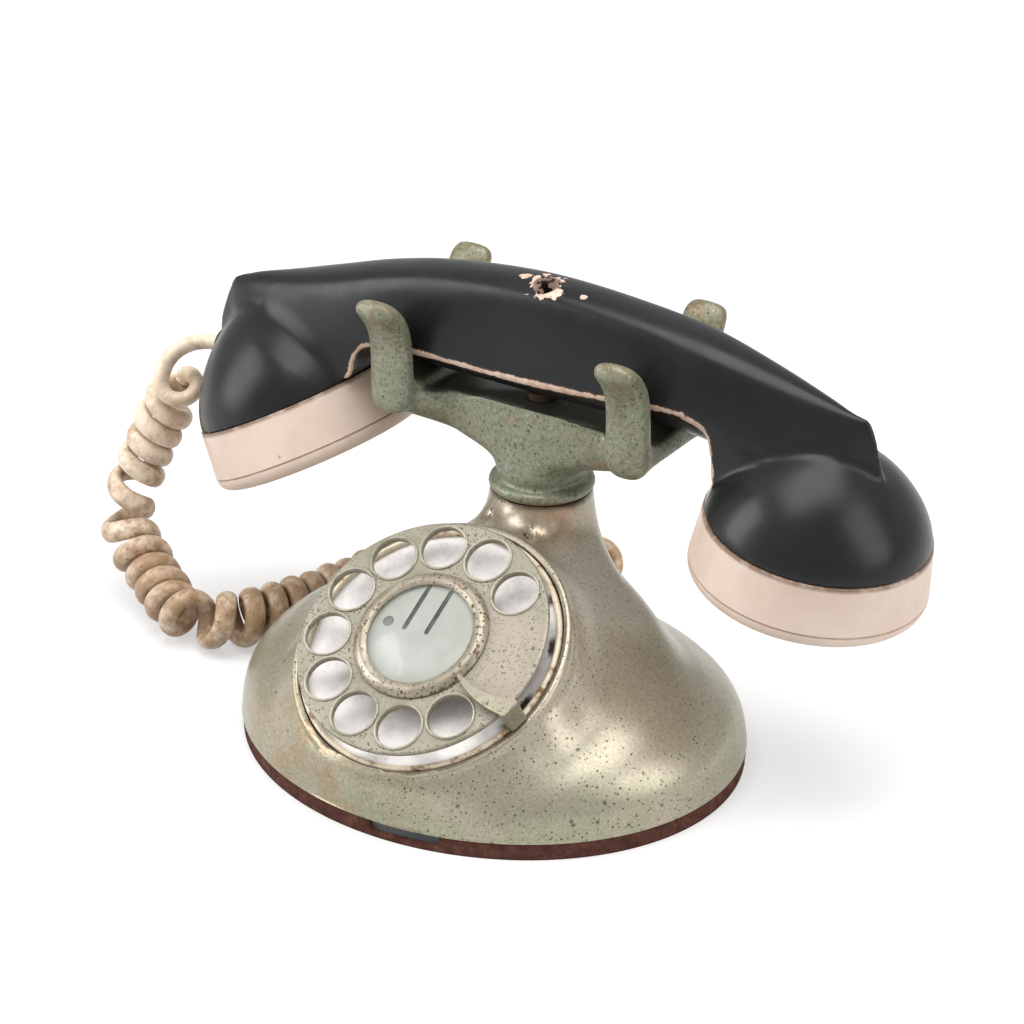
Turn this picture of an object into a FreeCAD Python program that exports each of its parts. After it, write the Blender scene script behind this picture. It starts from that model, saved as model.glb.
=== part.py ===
import FreeCAD, Part
import math
import os

V = FreeCAD.Vector

# Desk telephone with a dial. +X is the receiver end, -Y the dial side, +Z up.
# The origin is the centre of the oval base, on the surface that it stands on. Millimetres.

# Base shell: an oval skirt drawn up into a round neck behind the dial
BASE_HALF_X = 78.8
BASE_HALF_Y = 67.5
EDGE_Z = 5.4
NECK_Y = 27.0
NECK_R = 15.2
NECK_TOP_Z = 71.5
SHELL_WALL = 2.2
NECK_WEB = 7.5
# Share of the way out from the neck to the edge, and share of the neck's height above the edge
PROFILE = [(0.0, 1.0), (0.024, 0.883), (0.08, 0.787), (0.172, 0.705), (0.333, 0.620), (0.53, 0.523),
           (0.65, 0.427), (0.78, 0.345), (0.88, 0.275), (0.95, 0.200), (0.985, 0.115), (1.0, 0.0)]
REAR_HOLLOW = 5.5
REAR_HOLLOW_FROM = 0.47
SHELL_AZIMUTHS = 36

# Dial seat: a round boss on the front of the shell, tilted back from the horizontal.
# Heights along the dial's own axis start from the plane of its trim ring.
DIAL_Y = 35.5 - BASE_HALF_Y
DIAL_Z = 43.4
DIAL_TILT = 34.0
SEAT_LIP = 2.6
SEAT_SLOPE = 16.0
SEAT_DEPTH = 34.0
SEAT_BLEND = 9.0
SEAT_ROUND = 5.0
LIP_RISE = 0.4
CUP_R = 39.7
CUP_GAP = 0.5
CUP_TOP = -0.6
FLANGE_BOTTOM = -5.4
LEDGE_WIDTH = 2.8
LEDGE_DEPTH = 2.0
CUP_BACK = -12.0
CUP_WALL = 0.9
PLATE_R = 38.1
PLATE_THICK = 0.8
PLATE_HOLE_R = 8.0
TRIM_R = 38.9
TRIM_WIDTH = 1.7
TRIM_HEIGHT = 1.7
FRAME_THICK = 1.5
LUG_INNER_R = 30.0
LUG_WIDTH = 9.0
LUG_HEIGHT = 4.0
LUG_AZIMUTHS = (90, 210, 330)
SCREW_GAP = 0.1
SLOT_WIDTH = 0.7
SLOT_DEPTH = 0.5
FRAME_SCREW_CIRCLE_R = 32.5
FRAME_SCREW_R = 1.2
FRAME_SCREW_HEAD_R = 2.4
SCREW_HEAD = 1.2
FRAME_SCREW_LENGTH = 4.5
CUP_SCREW_R = 1.1
CUP_SCREW_HEAD_R = 1.5
CUP_SCREW_LENGTH = 5.5
CUP_SCREW_AZIMUTHS = (30, 150, 270)

# Finger wheel and what turns with it
WHEEL_R = 38.1
WHEEL_TOP = 7.3
WHEEL_THICK = 1.6
HOLE_CIRCLE_R = 29.4
HOLE_R = 6.7
HOLE_LIP = 0.8
HOLE_LIP_RISE = 0.5
FIRST_HOLE = 46.3
HOLE_STEP = 30.0
HOLES = 10
CARD_RING_R = 20.5
CARD_RING_RISE = 2.2
CARD_RING_EDGE = 0.5
CARD_RING_CREST_R = 18.2
CARD_RING_DIP = 0.6
CARD_R = 18.0
CARD_THICK = 0.5
WINDOW_R = 16.05
WINDOW_CROWN = 1.8
WINDOW_THICK = 0.8
CARD_GAP = 0.05
CARD_MARK_DEPTH = 0.3
CARD_DOT = (-11.9, 1.0)
CARD_DOT_R = 1.7
CARD_SLOTS = [((-6.1, 0.7), (-5.4, 15.4)), ((1.2, 1.3), (1.9, 15.2))]
CARD_SLOT_R = 0.75
SHAFT_R = 2.5
SHAFT_TOP = 6.3
SHAFT_END_R = 1.6
HUB_R = 6.0
HUB_BOTTOM = 1.5
PAN_R = 6.5
PAN_DEPTH = 0.9
WHEEL_SCREW_R = 1.2
WHEEL_SCREW_HEAD_R = 4.5
WHEEL_SCREW_HEAD = 0.85
WHEEL_SCREW_LENGTH = 8.0
RUN_GAP = 0.05
MOVE_GAP = 0.4
BUSH_R = 3.8
BUSH_FLANGE_R = 4.8
BUSH_FLANGE = 1.2

# Finger stop, over the wheel's lower right edge
STOP_ANGLE = -19.5
STOP_GAP = 0.65
STOP_INNER_R = WHEEL_R + STOP_GAP
STOP_THICK = 2.55
STOP_OUTER_R = STOP_INNER_R + STOP_THICK
STOP_BOTTOM = 1.3
STOP_TOP = 10.2
STOP_FOOT = 0.9
STOP_BLADE = 1.7
STOP_WIDTH = 6.0
STOP_WAIST_R = 30.2
STOP_WAIST = 3.0
STOP_BEND = 2.8
STOP_TIP_R = 21.2
STOP_TIP_WIDTH = 1.3
STOP_TIP_BEND = 2.2
STOP_CORNER_R = 0.9

# Gear train behind the frame plate
MAIN_TEETH = 40
PINION_TEETH = 12
MAIN_MODULE = 0.8
FAST_TEETH = 40
GOVERNOR_TEETH = 12
FAST_MODULE = 0.6
GEAR_THICK = 1.6
GEAR_GAP = 0.5
TOOTH_BACKLASH = 0.12
TOOTH_TIP = 0.8
TOOTH_ROOT = 1.1
PRESSURE_ANGLE = 20.0
TRAIN_TOP = -13.9
ARBOR_R = 1.3
PIVOT_R = 0.8
PIVOT_LENGTH = 1.7
ARBOR_ANGLE = 15.0
GOVERNOR_ANGLE = 130.0
CAM_R = 3.6
CAM_FLAT = 2.6
CAM_THICK = 1.2
WEIGHT_R = 6.2
WEIGHT_THICK = 2.8
WEIGHT_HUB_R = 2.6
WEIGHT_SLOT = 1.0
GOVERNOR_CUP_R = 8.6
GOVERNOR_CUP_WALL = 1.0
BRIDGE_TOP = -23.3
BRIDGE_THICK = 1.3
BRIDGE_EDGE_R = 4.6
POSTS = [(21.0, 240.0), (33.0, 35.0), (24.0, 125.0)]
POST_R = 2.2
BRIDGE_SCREW_R = 1.1
BRIDGE_SCREW_LENGTH = 6.0
SPRING_INNER_R = 3.75
SPRING_STEP = 2.2
SPRING_TURNS = 6
SPRING_LEAF = 0.5
SPRING_HEIGHT = 4.5
SPRING_BOTTOM = -10.3
SPRING_COLLAR_R = 3.0
SPRING_POST_R = 1.5
LEAF_THICK = 0.3
LEAF_WIDTH = 2.3
PULSE_LEAVES = (4.3, 5.8)
PULSE_LEAF_REACH = 2.0
PULSE_BLOCK_NEAR = 13.5
PULSE_BLOCK_FAR = 19.0
PULSE_BLOCK_IN = 3.0
PULSE_BLOCK_OUT = 7.5
PULSE_BLOCK_BOTTOM = -20.5

# Base plate, felt and screws
PLATE_INSET = 1.5
FELT_FLOOR = 2.0
PLATE_GAP = 0.1
FELT_INSET = 0.3
TEAR_AZIMUTHS = (272.5, 291.0)
BOSS_R = 4.4
BOSS_PLACES = [(-57, -20), (57, -20), (-52, 28), (52, 28)]
BASE_SCREW_R = 1.6
BASE_SCREW_HEAD_R = 3.0
BASE_SCREW_HEAD = 1.4
BASE_SCREW_LENGTH = 11.0
BASE_SCREW_RECESS_R = 3.5
STRIP_X = (-44.0, -18.0)
STRIP_Y = (12.0, 27.0)
STRIP_H = 8.0
STRIP_WALL = 1.2
STRIP_POCKET = 3.0
STRIP_SCREWS = 4
STRIP_SCREW_R = 1.4
STRIP_SCREW_HEAD_R = 2.2
STRIP_SCREW_LENGTH = 3.5

# Cradle casting on the neck
BEAD_R = 15.95
BEAD_H = 3.6
SPIGOT_R = 9.8
SPIGOT_GAP = 0.1
SPIGOT_BOTTOM = 57.0
NUT_R = 12.6
NUT_H = 5.0
NUT_SLOT = 3.0
NUT_SLOT_R = 11.4
STEM_R = 13.6
# Half length, half width and height of the casting's sections above the stem, and how square they are
FUNNEL = [(13.6, 13.6, 75.0, 2.0), (13.8, 13.5, 77.0, 2.0), (15.0, 13.2, 80.5, 2.0),
          (20.0, 12.8, 83.3, 2.1), (27.0, 12.4, 85.2, 2.3), (33.5, 12.0, 87.3, 2.5),
          (36.6, 11.8, 90.8, 2.7), (37.0, 11.5, 97.5, 2.8), (37.0, 11.4, 104.0, 2.8)]
CRADLE_TOP = 102.0
CRADLE_END_TOP = 97.5
SADDLE_HALF = 6.8
SADDLE_TOP = 102.6
SADDLE_BOTTOM = 94.0
SADDLE_REACH = 17.0
SADDLE_SQUARE = 3.4
PRONG_X = 40.6
PRONG_Y = 18.5
PRONG_BOTTOM = 93.0
FRONT_TIP_Y = 28.0
FRONT_TIP_Z = 128.9
REAR_TIP_Y = 25.5
REAR_TIP_Z = 130.2
PRONG_SQUARE = 2.8
# Share of the flare, share of the height, half thickness and half width of a prong's sections
PRONG_SHAPE = [(-0.06, 0.02, 3.0, 5.4), (-0.03, 0.09, 3.9, 6.7), (0.0, 0.22, 4.0, 7.0),
               (0.0, 0.42, 4.0, 7.0), (0.03, 0.60, 3.9, 6.9), (0.22, 0.75, 3.6, 6.6),
               (0.55, 0.88, 3.2, 6.1), (0.88, 0.975, 2.0, 4.4)]

# Hook switch
PLUNGER_R = 3.0
PLUNGER_GAP = 0.1
PLUNGER_HEAD_R = 4.5
PLUNGER_HEAD = 2.2
PLUNGER_TRAVEL = 4.0
PLUNGER_BOTTOM = 46.0
COLLAR_R = 5.4
COLLAR_Z = 80.0
COLLAR_H = 2.0
CHAMBER_R = 5.7
CHAMBER_BOTTOM = 60.0
CHAMBER_TOP = 87.0
COIL_R = 4.2
COIL_WIRE_R = 0.45
COIL_TURNS = 9
LEVER_PIVOT_X = 20.0
LEVER_PIVOT_Z = 42.0
LEVER_WIDTH = 6.0
LEVER_THICK = 1.6
LEVER_EYE_R = 3.0
LEVER_TIP_X = -1.0
LEVER_FINGER_Z = 29.0
LEVER_BUTTON_HALF = 1.8
LEVER_BUTTON_H = 2.6
LEVER_PIN_R = 1.2
CHEEK_THICK = 1.2
CHEEK_EYE_R = 2.6
CHEEK_SHOULDER_Z = 34.0
BRACKET_HALF_X = 5.0
BRACKET_FOOT = 1.6
BRACKET_FOOT_HALF_Y = 10.0
HOOK_LEAVES = (28.2, 30.0, 31.8)
HOOK_LEAF_BOTTOM = 20.0
HOOK_LEAF_TOP = 34.0
HOOK_LEAF_HALF = 2.0
HOOK_BLOCK_H = 6.0
HOOK_BLOCK_END = 33.0

# Handset, lying in the cradle
HANDSET_GAP = 0.3
TRANSMITTER_X = -89.6
TRANSMITTER_Z = 79.7
TRANSMITTER_LEAN = -28.0
RECEIVER_X = 92.2
RECEIVER_Z = 83.9
RECEIVER_LEAN = 9.0
DOME_R = 32.6
TRANSMITTER_DOME_H = 32.0
RECEIVER_DOME_H = 27.0
DOME_POWER = 1.6
DOME_WALL = 3.2
CAP_R = 32.9
CAP_H = 19.5
CAP_FLARE = 1.7
CAP_GROOVE_H = 15.0
CAP_GROOVE = 0.5
CAP_EDGE_R = 3.8
CAP_WALL = 3.0
CAP_BORE_R = 27.6
CAP_SPIGOT_H = 5.0
CAP_SPIGOT_GAP = 0.1
# x, top height, roof half width, side half width, seam height, underside height
HANDLE = [(-112.3, 112.6, 0.7, 3.2, 104.0, 99.0), (-106.0, 115.6, 2.6, 6.0, 102.5, 95.0),
          (-92.0, 119.4, 5.2, 10.2, 102.5, 95.0), (-72.0, 125.4, 7.4, 13.2, 104.5, 96.0),
          (-56.0, 130.2, 8.2, 13.9, 109.0, 101.0), (-35.0, 134.9, 8.6, 13.9, 110.5, 102.9),
          (0.0, 138.4, 8.8, 13.9, 110.5, 102.9), (35.0, 136.5, 8.4, 13.9, 112.4, 102.9),
          (54.0, 133.8, 7.8, 13.9, 113.5, 102.9), (72.0, 129.4, 6.4, 12.6, 109.0, 100.0),
          (90.0, 124.2, 4.2, 9.4, 105.0, 97.0), (100.0, 121.2, 2.2, 5.8, 103.5, 97.0),
          (105.6, 119.4, 0.7, 3.0, 104.5, 99.0)]
UNDER_HALF = 8.5
# The inner edge of each end, from the underside of the handle down to the cup's rim (x, z)
WEB_HALF = 13.0
TRANSMITTER_WEB = [(-50.0, 110.3), (-52.5, 109.3), (-55.4, 107.3), (-58.0, 104.3), (-59.3, 100.7),
                   (-60.2, 97.0), (-61.2, 95.6)]
RECEIVER_WEB = [(55.0, 113.0), (59.5, 111.5), (61.8, 109.3), (63.4, 104.5), (64.2, 98.0),
                (64.3, 93.0), (63.4, 89.4)]
WEB_TOPS = (103.0, 108.0)
WEB_DEPTH = 14.0
# Thin skin from each end of the handle down the outer side of its dome (x, z)
FIN_HALF = 1.2
TRANSMITTER_FIN = [(-108.0, 113.0), (-112.6, 112.0), (-115.0, 107.6), (-117.3, 102.3), (-118.5, 98.0),
                   (-112.0, 97.0)]
RECEIVER_FIN = [(102.0, 118.0), (106.0, 118.6), (107.4, 117.0), (109.1, 113.0), (111.1, 106.8),
                (113.4, 101.0), (108.0, 100.0)]
FLANK_HEIGHT = 0.5
FLANK_BULGE = 0.62
DUCT_R = 2.6
DUCT_Z = 106.5
DUCT_HALF = 92.0
WORN_HOLE = (2.5, 24.5)
WORN_HOLE_R = 3.3
WORN_HOLE_DEPTH = 9.0
CAPSULE_R = 27.0
CAPSULE_H = 9.0
CAPSULE_STEP_R = 20.0
CAPSULE_STEP = 2.5
CONTACT_BLOCK_R = 8.0
CONTACT_BLOCK_H = 4.3
CONTACT_REACH = 20.0
CONTACT_STRIP = 3.0
SOUND_HOLE_R = 1.4
SOUND_RINGS = [(0.0, 1), (7.5, 6), (15.0, 12)]

# Curly cord, from the transmitter end to the back of the base
WIRE_D = 5.9
CURL_R = 6.4
CURL_GAP = 1.0
EXIT_X = -118.6
EXIT_Z = 88.3
CORD_GAP = 0.3
CORD_BUSH_R = 4.3
CORD_BUSH_LENGTH = 10.0
CORD_BUSH_RIM_R = 5.2
CORD_BUSH_RIM = 1.2
INLET_X = -14.0
INLET_Z = 24.0
INLET_Y = BASE_HALF_Y - 4.0
INLET_BOSS_R = 6.5
INLET_BORE_R = 4.2
INLET_DEPTH = 12.0
LINE_X = -34.0
LINE_Z = 14.0
LINE_Y = BASE_HALF_Y - 5.5
LINE_BOSS_R = 5.2
LINE_BORE_R = 3.2
GROMMET_HEAD = 1.8
GROMMET_RIM = 0.8
LINE_CORD_R = 2.2
CORD_FLOOR = 9.9
CORD_ROUTE = [(-132.0, 19.0, 75.0), (-135.0, 25.0, 71.0), (-139.5, 24.0, 64.0), (-143.0, 21.0, 55.0),
              (-146.0, 18.0, 45.0), (-149.5, 14.0, 34.0), (-149.5, 10.5, 25.0), (-141.0, 7.0, 17.0),
              (-128.0, 1.0, 12.0), (-116.0, -6.5, CORD_FLOOR), (-103.0, -9.0, CORD_FLOOR),
              (-94.5, 0.0, CORD_FLOOR), (-88.8, 12.0, CORD_FLOOR), (-83.2, 28.0, CORD_FLOOR),
              (-77.5, 44.0, CORD_FLOOR), (-73.0, BASE_HALF_Y - 5.5, CORD_FLOOR),
              (-64.0, BASE_HALF_Y + 14.5, CORD_FLOOR), (-50.0, BASE_HALF_Y + 29.5, CORD_FLOOR),
              (-31.0, BASE_HALF_Y + 33.5, 10.8), (-19.0, BASE_HALF_Y + 29.5, 12.5),
              (-16.0, BASE_HALF_Y + 21.5, 16.5)]
CURL_START = 10.0
CURL_END = 0.0
LOOSE_FROM = 42.0
LOOSE_LENGTH = 9.0
LOOSE_PITCH = 1.7
AXIS_STEPS = 2400
BEND_WINDOW = 16


def box(x0, x1, y0, y1, z0, z1):
    return Part.makeBox(x1 - x0, y1 - y0, z1 - z0, V(x0, y0, z0))


def disc(r, z0, z1, x=0.0, y=0.0):
    return Part.makeCylinder(r, z1 - z0, V(x, y, z0))


def ring(outer, inner, z0, z1, x=0.0, y=0.0):
    return disc(outer, z0, z1, x, y).cut(disc(inner, z0 - 1, z1 + 1, x, y))


def turned(points):
    """Solid turned about Z from a closed outline of (radius, height) points."""
    outline = [V(r, 0, z) for r, z in points]
    face = Part.Face(Part.makePolygon(outline + [outline[0]]))
    return face.revolve(V(0, 0, 0), V(0, 0, 1), 360)


def turned_face(edges):
    return Part.Face(Part.Wire(edges)).revolve(V(0, 0, 0), V(0, 0, 1), 360)


def group(shapes):
    return Part.makeCompound(shapes)


def polar(radius, degrees):
    return radius * math.cos(math.radians(degrees)), radius * math.sin(math.radians(degrees))


def on_dial(shape):
    """From the dial's own frame (Z out of its face, Y up the face) to the telephone's frame."""
    moved = shape.copy()
    moved.rotate(V(0, 0, 0), V(1, 0, 0), DIAL_TILT)
    moved.translate(V(0, DIAL_Y, DIAL_Z))
    return moved


# Base shell

DIAL_AXIS = V(0, -math.sin(math.radians(DIAL_TILT)), math.cos(math.radians(DIAL_TILT)))
DIAL_CENTRE = V(0, DIAL_Y, DIAL_Z)
SEAT_BORE_R = CUP_R + CUP_GAP
SEAT_R = SEAT_BORE_R + SEAT_LIP
LEDGE_R = SEAT_BORE_R - LEDGE_WIDTH
CUP_SCREW_CIRCLE_R = LEDGE_R + CUP_GAP + CUP_SCREW_R


def bell_point(out, height, azimuth):
    """Point of the plain oval bell, before the dial seat is blended in."""
    c, s = math.cos(azimuth), math.sin(azimuth)
    fade = min(out / REAR_HOLLOW_FROM, 1.0)
    share = out ** (1 + (REAR_HOLLOW - 1) * fade * max(s, 0.0) ** 2)
    half_x = NECK_R + (BASE_HALF_X - NECK_R) * share
    half_y = NECK_R + (BASE_HALF_Y - NECK_R) * share
    z = EDGE_Z + (NECK_TOP_Z - EDGE_Z) * height
    return V(half_x * c, NECK_Y * (1 - share) + half_y * s, z)


def bell_normal(level, azimuth):
    above = PROFILE[max(level - 1, 0)]
    below = PROFILE[min(level + 1, len(PROFILE) - 1)]
    down = bell_point(*below, azimuth) - bell_point(*above, azimuth)
    step = 0.01
    around = bell_point(*PROFILE[level], azimuth + step) - bell_point(*PROFILE[level], azimuth - step)
    return down.cross(around).normalize()


def smooth_less(a, b, width):
    blend = max(width - abs(a - b), 0.0) / width
    return min(a, b) - blend * blend * width / 4


def seat_depth(point):
    """How far outside the dial seat's cone and round top a point lies."""
    offset = point - DIAL_CENTRE
    high = offset.dot(DIAL_AXIS)
    radius = (offset - DIAL_AXIS * high).Length
    slope = math.radians(SEAT_SLOPE)
    side = (radius - SEAT_R) * math.cos(slope) + high * math.sin(slope)
    above = max(high, -high - SEAT_DEPTH)
    return -smooth_less(-above, -side, SEAT_ROUND)


def shell_point(level, azimuth, inset):
    start = bell_point(*PROFILE[level], azimuth)
    normal = bell_normal(level, azimuth)
    low, high = 0.0, 30.0
    for _ in range(24):
        middle = (low + high) / 2
        if smooth_less(middle, seat_depth(start + normal * middle), SEAT_BLEND) > 0:
            high = middle
        else:
            low = middle
    rise = low if 0 < level < len(PROFILE) - 1 else 0.0
    if level in (0, len(PROFILE) - 1):
        normal = V(normal.x, normal.y, 0).normalize()
    return start + normal * (rise - inset)


def closed_curve(points):
    """Smooth closed edge through the points, evenly spaced in its parameter."""
    curve = Part.BSplineCurve()
    steps = [k / len(points) for k in range(len(points) + 1)]
    curve.interpolate(Points=points, PeriodicFlag=True, Parameters=steps)
    return Part.Wire([curve.toShape()])


def shell_solid(inset):
    angles = [2 * math.pi * k / SHELL_AZIMUTHS for k in range(SHELL_AZIMUTHS)]
    levels = range(len(PROFILE))
    wires = [closed_curve([shell_point(level, a, inset) for a in angles]) for level in levels]
    return Part.makeLoft(wires, True, False)


def cord_boss(x, z, y_face, radius):
    return Part.makeCylinder(radius, INLET_DEPTH, V(x, y_face - INLET_DEPTH, z), V(0, 1, 0))


def cord_bore(x, z, y_face, radius):
    return Part.makeCylinder(radius, 2 * INLET_DEPTH, V(x, y_face - 1.5 * INLET_DEPTH, z), V(0, 1, 0))


def make_base_shell():
    wide = 2 * BASE_HALF_X
    web_z = NECK_TOP_Z - NECK_WEB
    outer = shell_solid(0.0)
    hollow = shell_solid(SHELL_WALL).common(box(-wide, wide, -wide, wide, 0, web_z))
    bosses = [disc(BOSS_R, EDGE_Z, NECK_TOP_Z / 2, x, y).common(outer) for x, y in BOSS_PLACES]
    bosses.append(cord_boss(INLET_X, INLET_Z, INLET_Y, INLET_BOSS_R))
    bosses.append(cord_boss(LINE_X, LINE_Z, LINE_Y, LINE_BOSS_R))
    collar = turned([(SEAT_BORE_R, FLANGE_BOTTOM), (SEAT_R, FLANGE_BOTTOM), (SEAT_R, -1.4),
                     (SEAT_R - 0.5, LIP_RISE - 0.3), (SEAT_R - 1.1, LIP_RISE),
                     (SEAT_BORE_R + 0.4, LIP_RISE), (SEAT_BORE_R, LIP_RISE - 0.4)])
    ledge = ring(SEAT_R, LEDGE_R, FLANGE_BOTTOM - LEDGE_DEPTH, FLANGE_BOTTOM)
    seat_bore = on_dial(disc(SEAT_BORE_R, FLANGE_BOTTOM, NECK_R + WHEEL_TOP))
    shell = outer.cut(hollow).fuse(bosses).cut(seat_bore).fuse([on_dial(collar), on_dial(ledge)])
    holes = [cord_bore(INLET_X, INLET_Z, INLET_Y, INLET_BORE_R)]
    holes.append(cord_bore(LINE_X, LINE_Z, LINE_Y, LINE_BORE_R))
    holes.append(disc(SPIGOT_R + SPIGOT_GAP, web_z - 1, NECK_TOP_Z + 1, 0, NECK_Y))
    holes += [disc(BASE_SCREW_R, 0, EDGE_Z + BASE_SCREW_LENGTH, x, y) for x, y in BOSS_PLACES]
    screw_places = [polar(CUP_SCREW_CIRCLE_R, azimuth) for azimuth in CUP_SCREW_AZIMUTHS]
    holes += [on_dial(disc(CUP_SCREW_R, 2 * FLANGE_BOTTOM, CUP_TOP, x, y)) for x, y in screw_places]
    return shell.cut(holes)


def at(shape, x=0.0, y=0.0, z=0.0):
    moved = shape.copy()
    moved.translate(V(x, y, z))
    return moved


def screw(shank_r, head_r, head, length):
    """Slotted screw pointing up, its head below z = 0."""
    slot = box(-head_r, head_r, -SLOT_WIDTH / 2, SLOT_WIDTH / 2, -head - 1, SLOT_DEPTH - head)
    return disc(head_r, -head, 0).fuse(disc(shank_r, 0, length)).cut(slot)


def screw_down(shank_r, head_r, head, length):
    turned_over = screw(shank_r, head_r, head, length)
    turned_over.rotate(V(0, 0, 0), V(1, 0, 0), 180)
    return turned_over


def arc(start, middle, end):
    return Part.Arc(V(*start), V(*middle), V(*end)).toShape()


def line(start, end):
    return Part.makeLine(V(*start), V(*end))


# Dial: cup, number plate, trim ring and finger stop

CUP_WALL_R = LEDGE_R - CUP_GAP
PLATE_SEAT = CUP_TOP - PLATE_THICK


def make_dial_cup():
    recess = PLATE_R + SCREW_GAP
    inner = CUP_WALL_R - CUP_WALL
    cup = turned([(inner, CUP_BACK), (CUP_WALL_R, CUP_BACK), (CUP_WALL_R, FLANGE_BOTTOM),
                  (CUP_R, FLANGE_BOTTOM), (CUP_R, CUP_TOP), (recess, CUP_TOP),
                  (recess, PLATE_SEAT), (inner, PLATE_SEAT)])
    lug = box(LUG_INNER_R, CUP_WALL_R - CUP_WALL / 2, -LUG_WIDTH / 2, LUG_WIDTH / 2,
              CUP_BACK, CUP_BACK + LUG_HEIGHT)
    lugs = []
    for azimuth in LUG_AZIMUTHS:
        turned_lug = lug.copy()
        turned_lug.rotate(V(0, 0, 0), V(0, 0, 1), azimuth)
        lugs.append(turned_lug)
    holes = []
    for azimuth in LUG_AZIMUTHS:
        x, y = polar(FRAME_SCREW_CIRCLE_R, azimuth)
        holes.append(disc(FRAME_SCREW_R + SCREW_GAP, CUP_BACK - 1, CUP_BACK + LUG_HEIGHT + 1, x, y))
    for azimuth in CUP_SCREW_AZIMUTHS:
        x, y = polar(CUP_SCREW_CIRCLE_R, azimuth)
        top = FLANGE_BOTTOM - LEDGE_DEPTH + CUP_SCREW_LENGTH + SCREW_GAP
        holes.append(disc(CUP_SCREW_R, FLANGE_BOTTOM - 1, top, x, y))
    return cup.fuse(lugs).cut(holes)


def make_number_plate():
    return ring(PLATE_R, PLATE_HOLE_R, PLATE_SEAT, CUP_TOP)


def stop_frame(shape):
    turned_stop = shape.copy()
    turned_stop.rotate(V(0, 0, 0), V(0, 0, 1), STOP_ANGLE)
    return turned_stop


def make_trim_ring():
    inner = TRIM_R - TRIM_WIDTH / 2
    outer = TRIM_R + TRIM_WIDTH / 2
    shoulder = CUP_TOP + TRIM_HEIGHT - TRIM_WIDTH / 2
    edges = [line((inner, 0, CUP_TOP), (outer, 0, CUP_TOP)),
             line((outer, 0, CUP_TOP), (outer, 0, shoulder)),
             arc((outer, 0, shoulder), (TRIM_R, 0, CUP_TOP + TRIM_HEIGHT), (inner, 0, shoulder)),
             line((inner, 0, shoulder), (inner, 0, CUP_TOP))]
    half = STOP_WIDTH / 2 + SCREW_GAP
    gap = box(inner - 1, outer + 1, -half, half, CUP_TOP - 1, WHEEL_TOP)
    return turned_face(edges).cut(stop_frame(gap))


def make_finger_stop():
    half = STOP_WIDTH / 2
    block = box(STOP_INNER_R, STOP_OUTER_R, -half, half, STOP_BOTTOM, STOP_TOP)
    corners = [edge for edge in block.Edges
               if edge.BoundBox.XMin > STOP_OUTER_R - 0.01 and edge.BoundBox.ZLength > 1]
    block = block.makeFillet(STOP_CORNER_R, corners)
    foot = box(STOP_INNER_R, STOP_INNER_R + STOP_FOOT, -half, half, CUP_TOP, STOP_TOP)
    low = STOP_TOP - STOP_BLADE
    tip_high = (STOP_TIP_R, STOP_TIP_WIDTH / 2 - STOP_TIP_BEND, low)
    tip_low = (STOP_TIP_R, -STOP_TIP_WIDTH / 2 - STOP_TIP_BEND, low)
    tip_end = (STOP_TIP_R - STOP_TIP_WIDTH / 2, -STOP_TIP_BEND, low)
    waist_high = (STOP_WAIST_R, STOP_WAIST / 2 - STOP_BEND, low)
    waist_low = (STOP_WAIST_R, -STOP_WAIST / 2 - STOP_BEND, low)
    root = STOP_INNER_R + STOP_FOOT
    edges = [arc(tip_high, waist_high, (root, half, low)), line((root, half, low), (root, -half, low)),
             arc((root, -half, low), waist_low, tip_low), arc(tip_low, tip_end, tip_high)]
    blade = Part.Face(Part.Wire(edges)).extrude(V(0, 0, STOP_BLADE))
    return stop_frame(block.fuse([foot, blade]))


# Dial: wheel, card and window

def hole_places():
    return [polar(HOLE_CIRCLE_R, FIRST_HOLE + k * HOLE_STEP) for k in range(HOLES)]


def make_finger_wheel():
    bottom = WHEEL_TOP - WHEEL_THICK
    side = WHEEL_R - WHEEL_THICK / 2
    edges = [line((0, 0, bottom), (side, 0, bottom)),
             arc((side, 0, bottom), (WHEEL_R, 0, bottom + WHEEL_THICK / 2), (side, 0, WHEEL_TOP)),
             line((side, 0, WHEEL_TOP), (0, 0, WHEEL_TOP)), line((0, 0, WHEEL_TOP), (0, 0, bottom))]
    wheel = turned_face(edges)
    lip_r = HOLE_R + HOLE_LIP / 2
    lip_edges = [line((HOLE_R, 0, bottom), (HOLE_R + HOLE_LIP, 0, bottom)),
                 line((HOLE_R + HOLE_LIP, 0, bottom), (HOLE_R + HOLE_LIP, 0, WHEEL_TOP)),
                 arc((HOLE_R + HOLE_LIP, 0, WHEEL_TOP), (lip_r, 0, WHEEL_TOP + HOLE_LIP_RISE),
                     (HOLE_R, 0, WHEEL_TOP)),
                 line((HOLE_R, 0, WHEEL_TOP), (HOLE_R, 0, bottom))]
    lip = turned_face(lip_edges)
    lips = [at(lip, x, y) for x, y in hole_places()]
    holes = [disc(HOLE_R, bottom - 1, WHEEL_TOP + 1, x, y) for x, y in hole_places()]
    holes.append(disc(PAN_R, WHEEL_TOP - PAN_DEPTH, WHEEL_TOP + 1))
    holes.append(disc(SHAFT_R, HUB_BOTTOM - 1, WHEEL_TOP))
    return wheel.cut(holes[:HOLES]).fuse([disc(HUB_R, HUB_BOTTOM, bottom)] + lips).cut(holes[HOLES:])


def make_wheel_screw():
    head_bottom = WHEEL_TOP - PAN_DEPTH
    return at(screw_down(WHEEL_SCREW_R, WHEEL_SCREW_HEAD_R, WHEEL_SCREW_HEAD, WHEEL_SCREW_LENGTH),
              0, 0, head_bottom)


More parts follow.
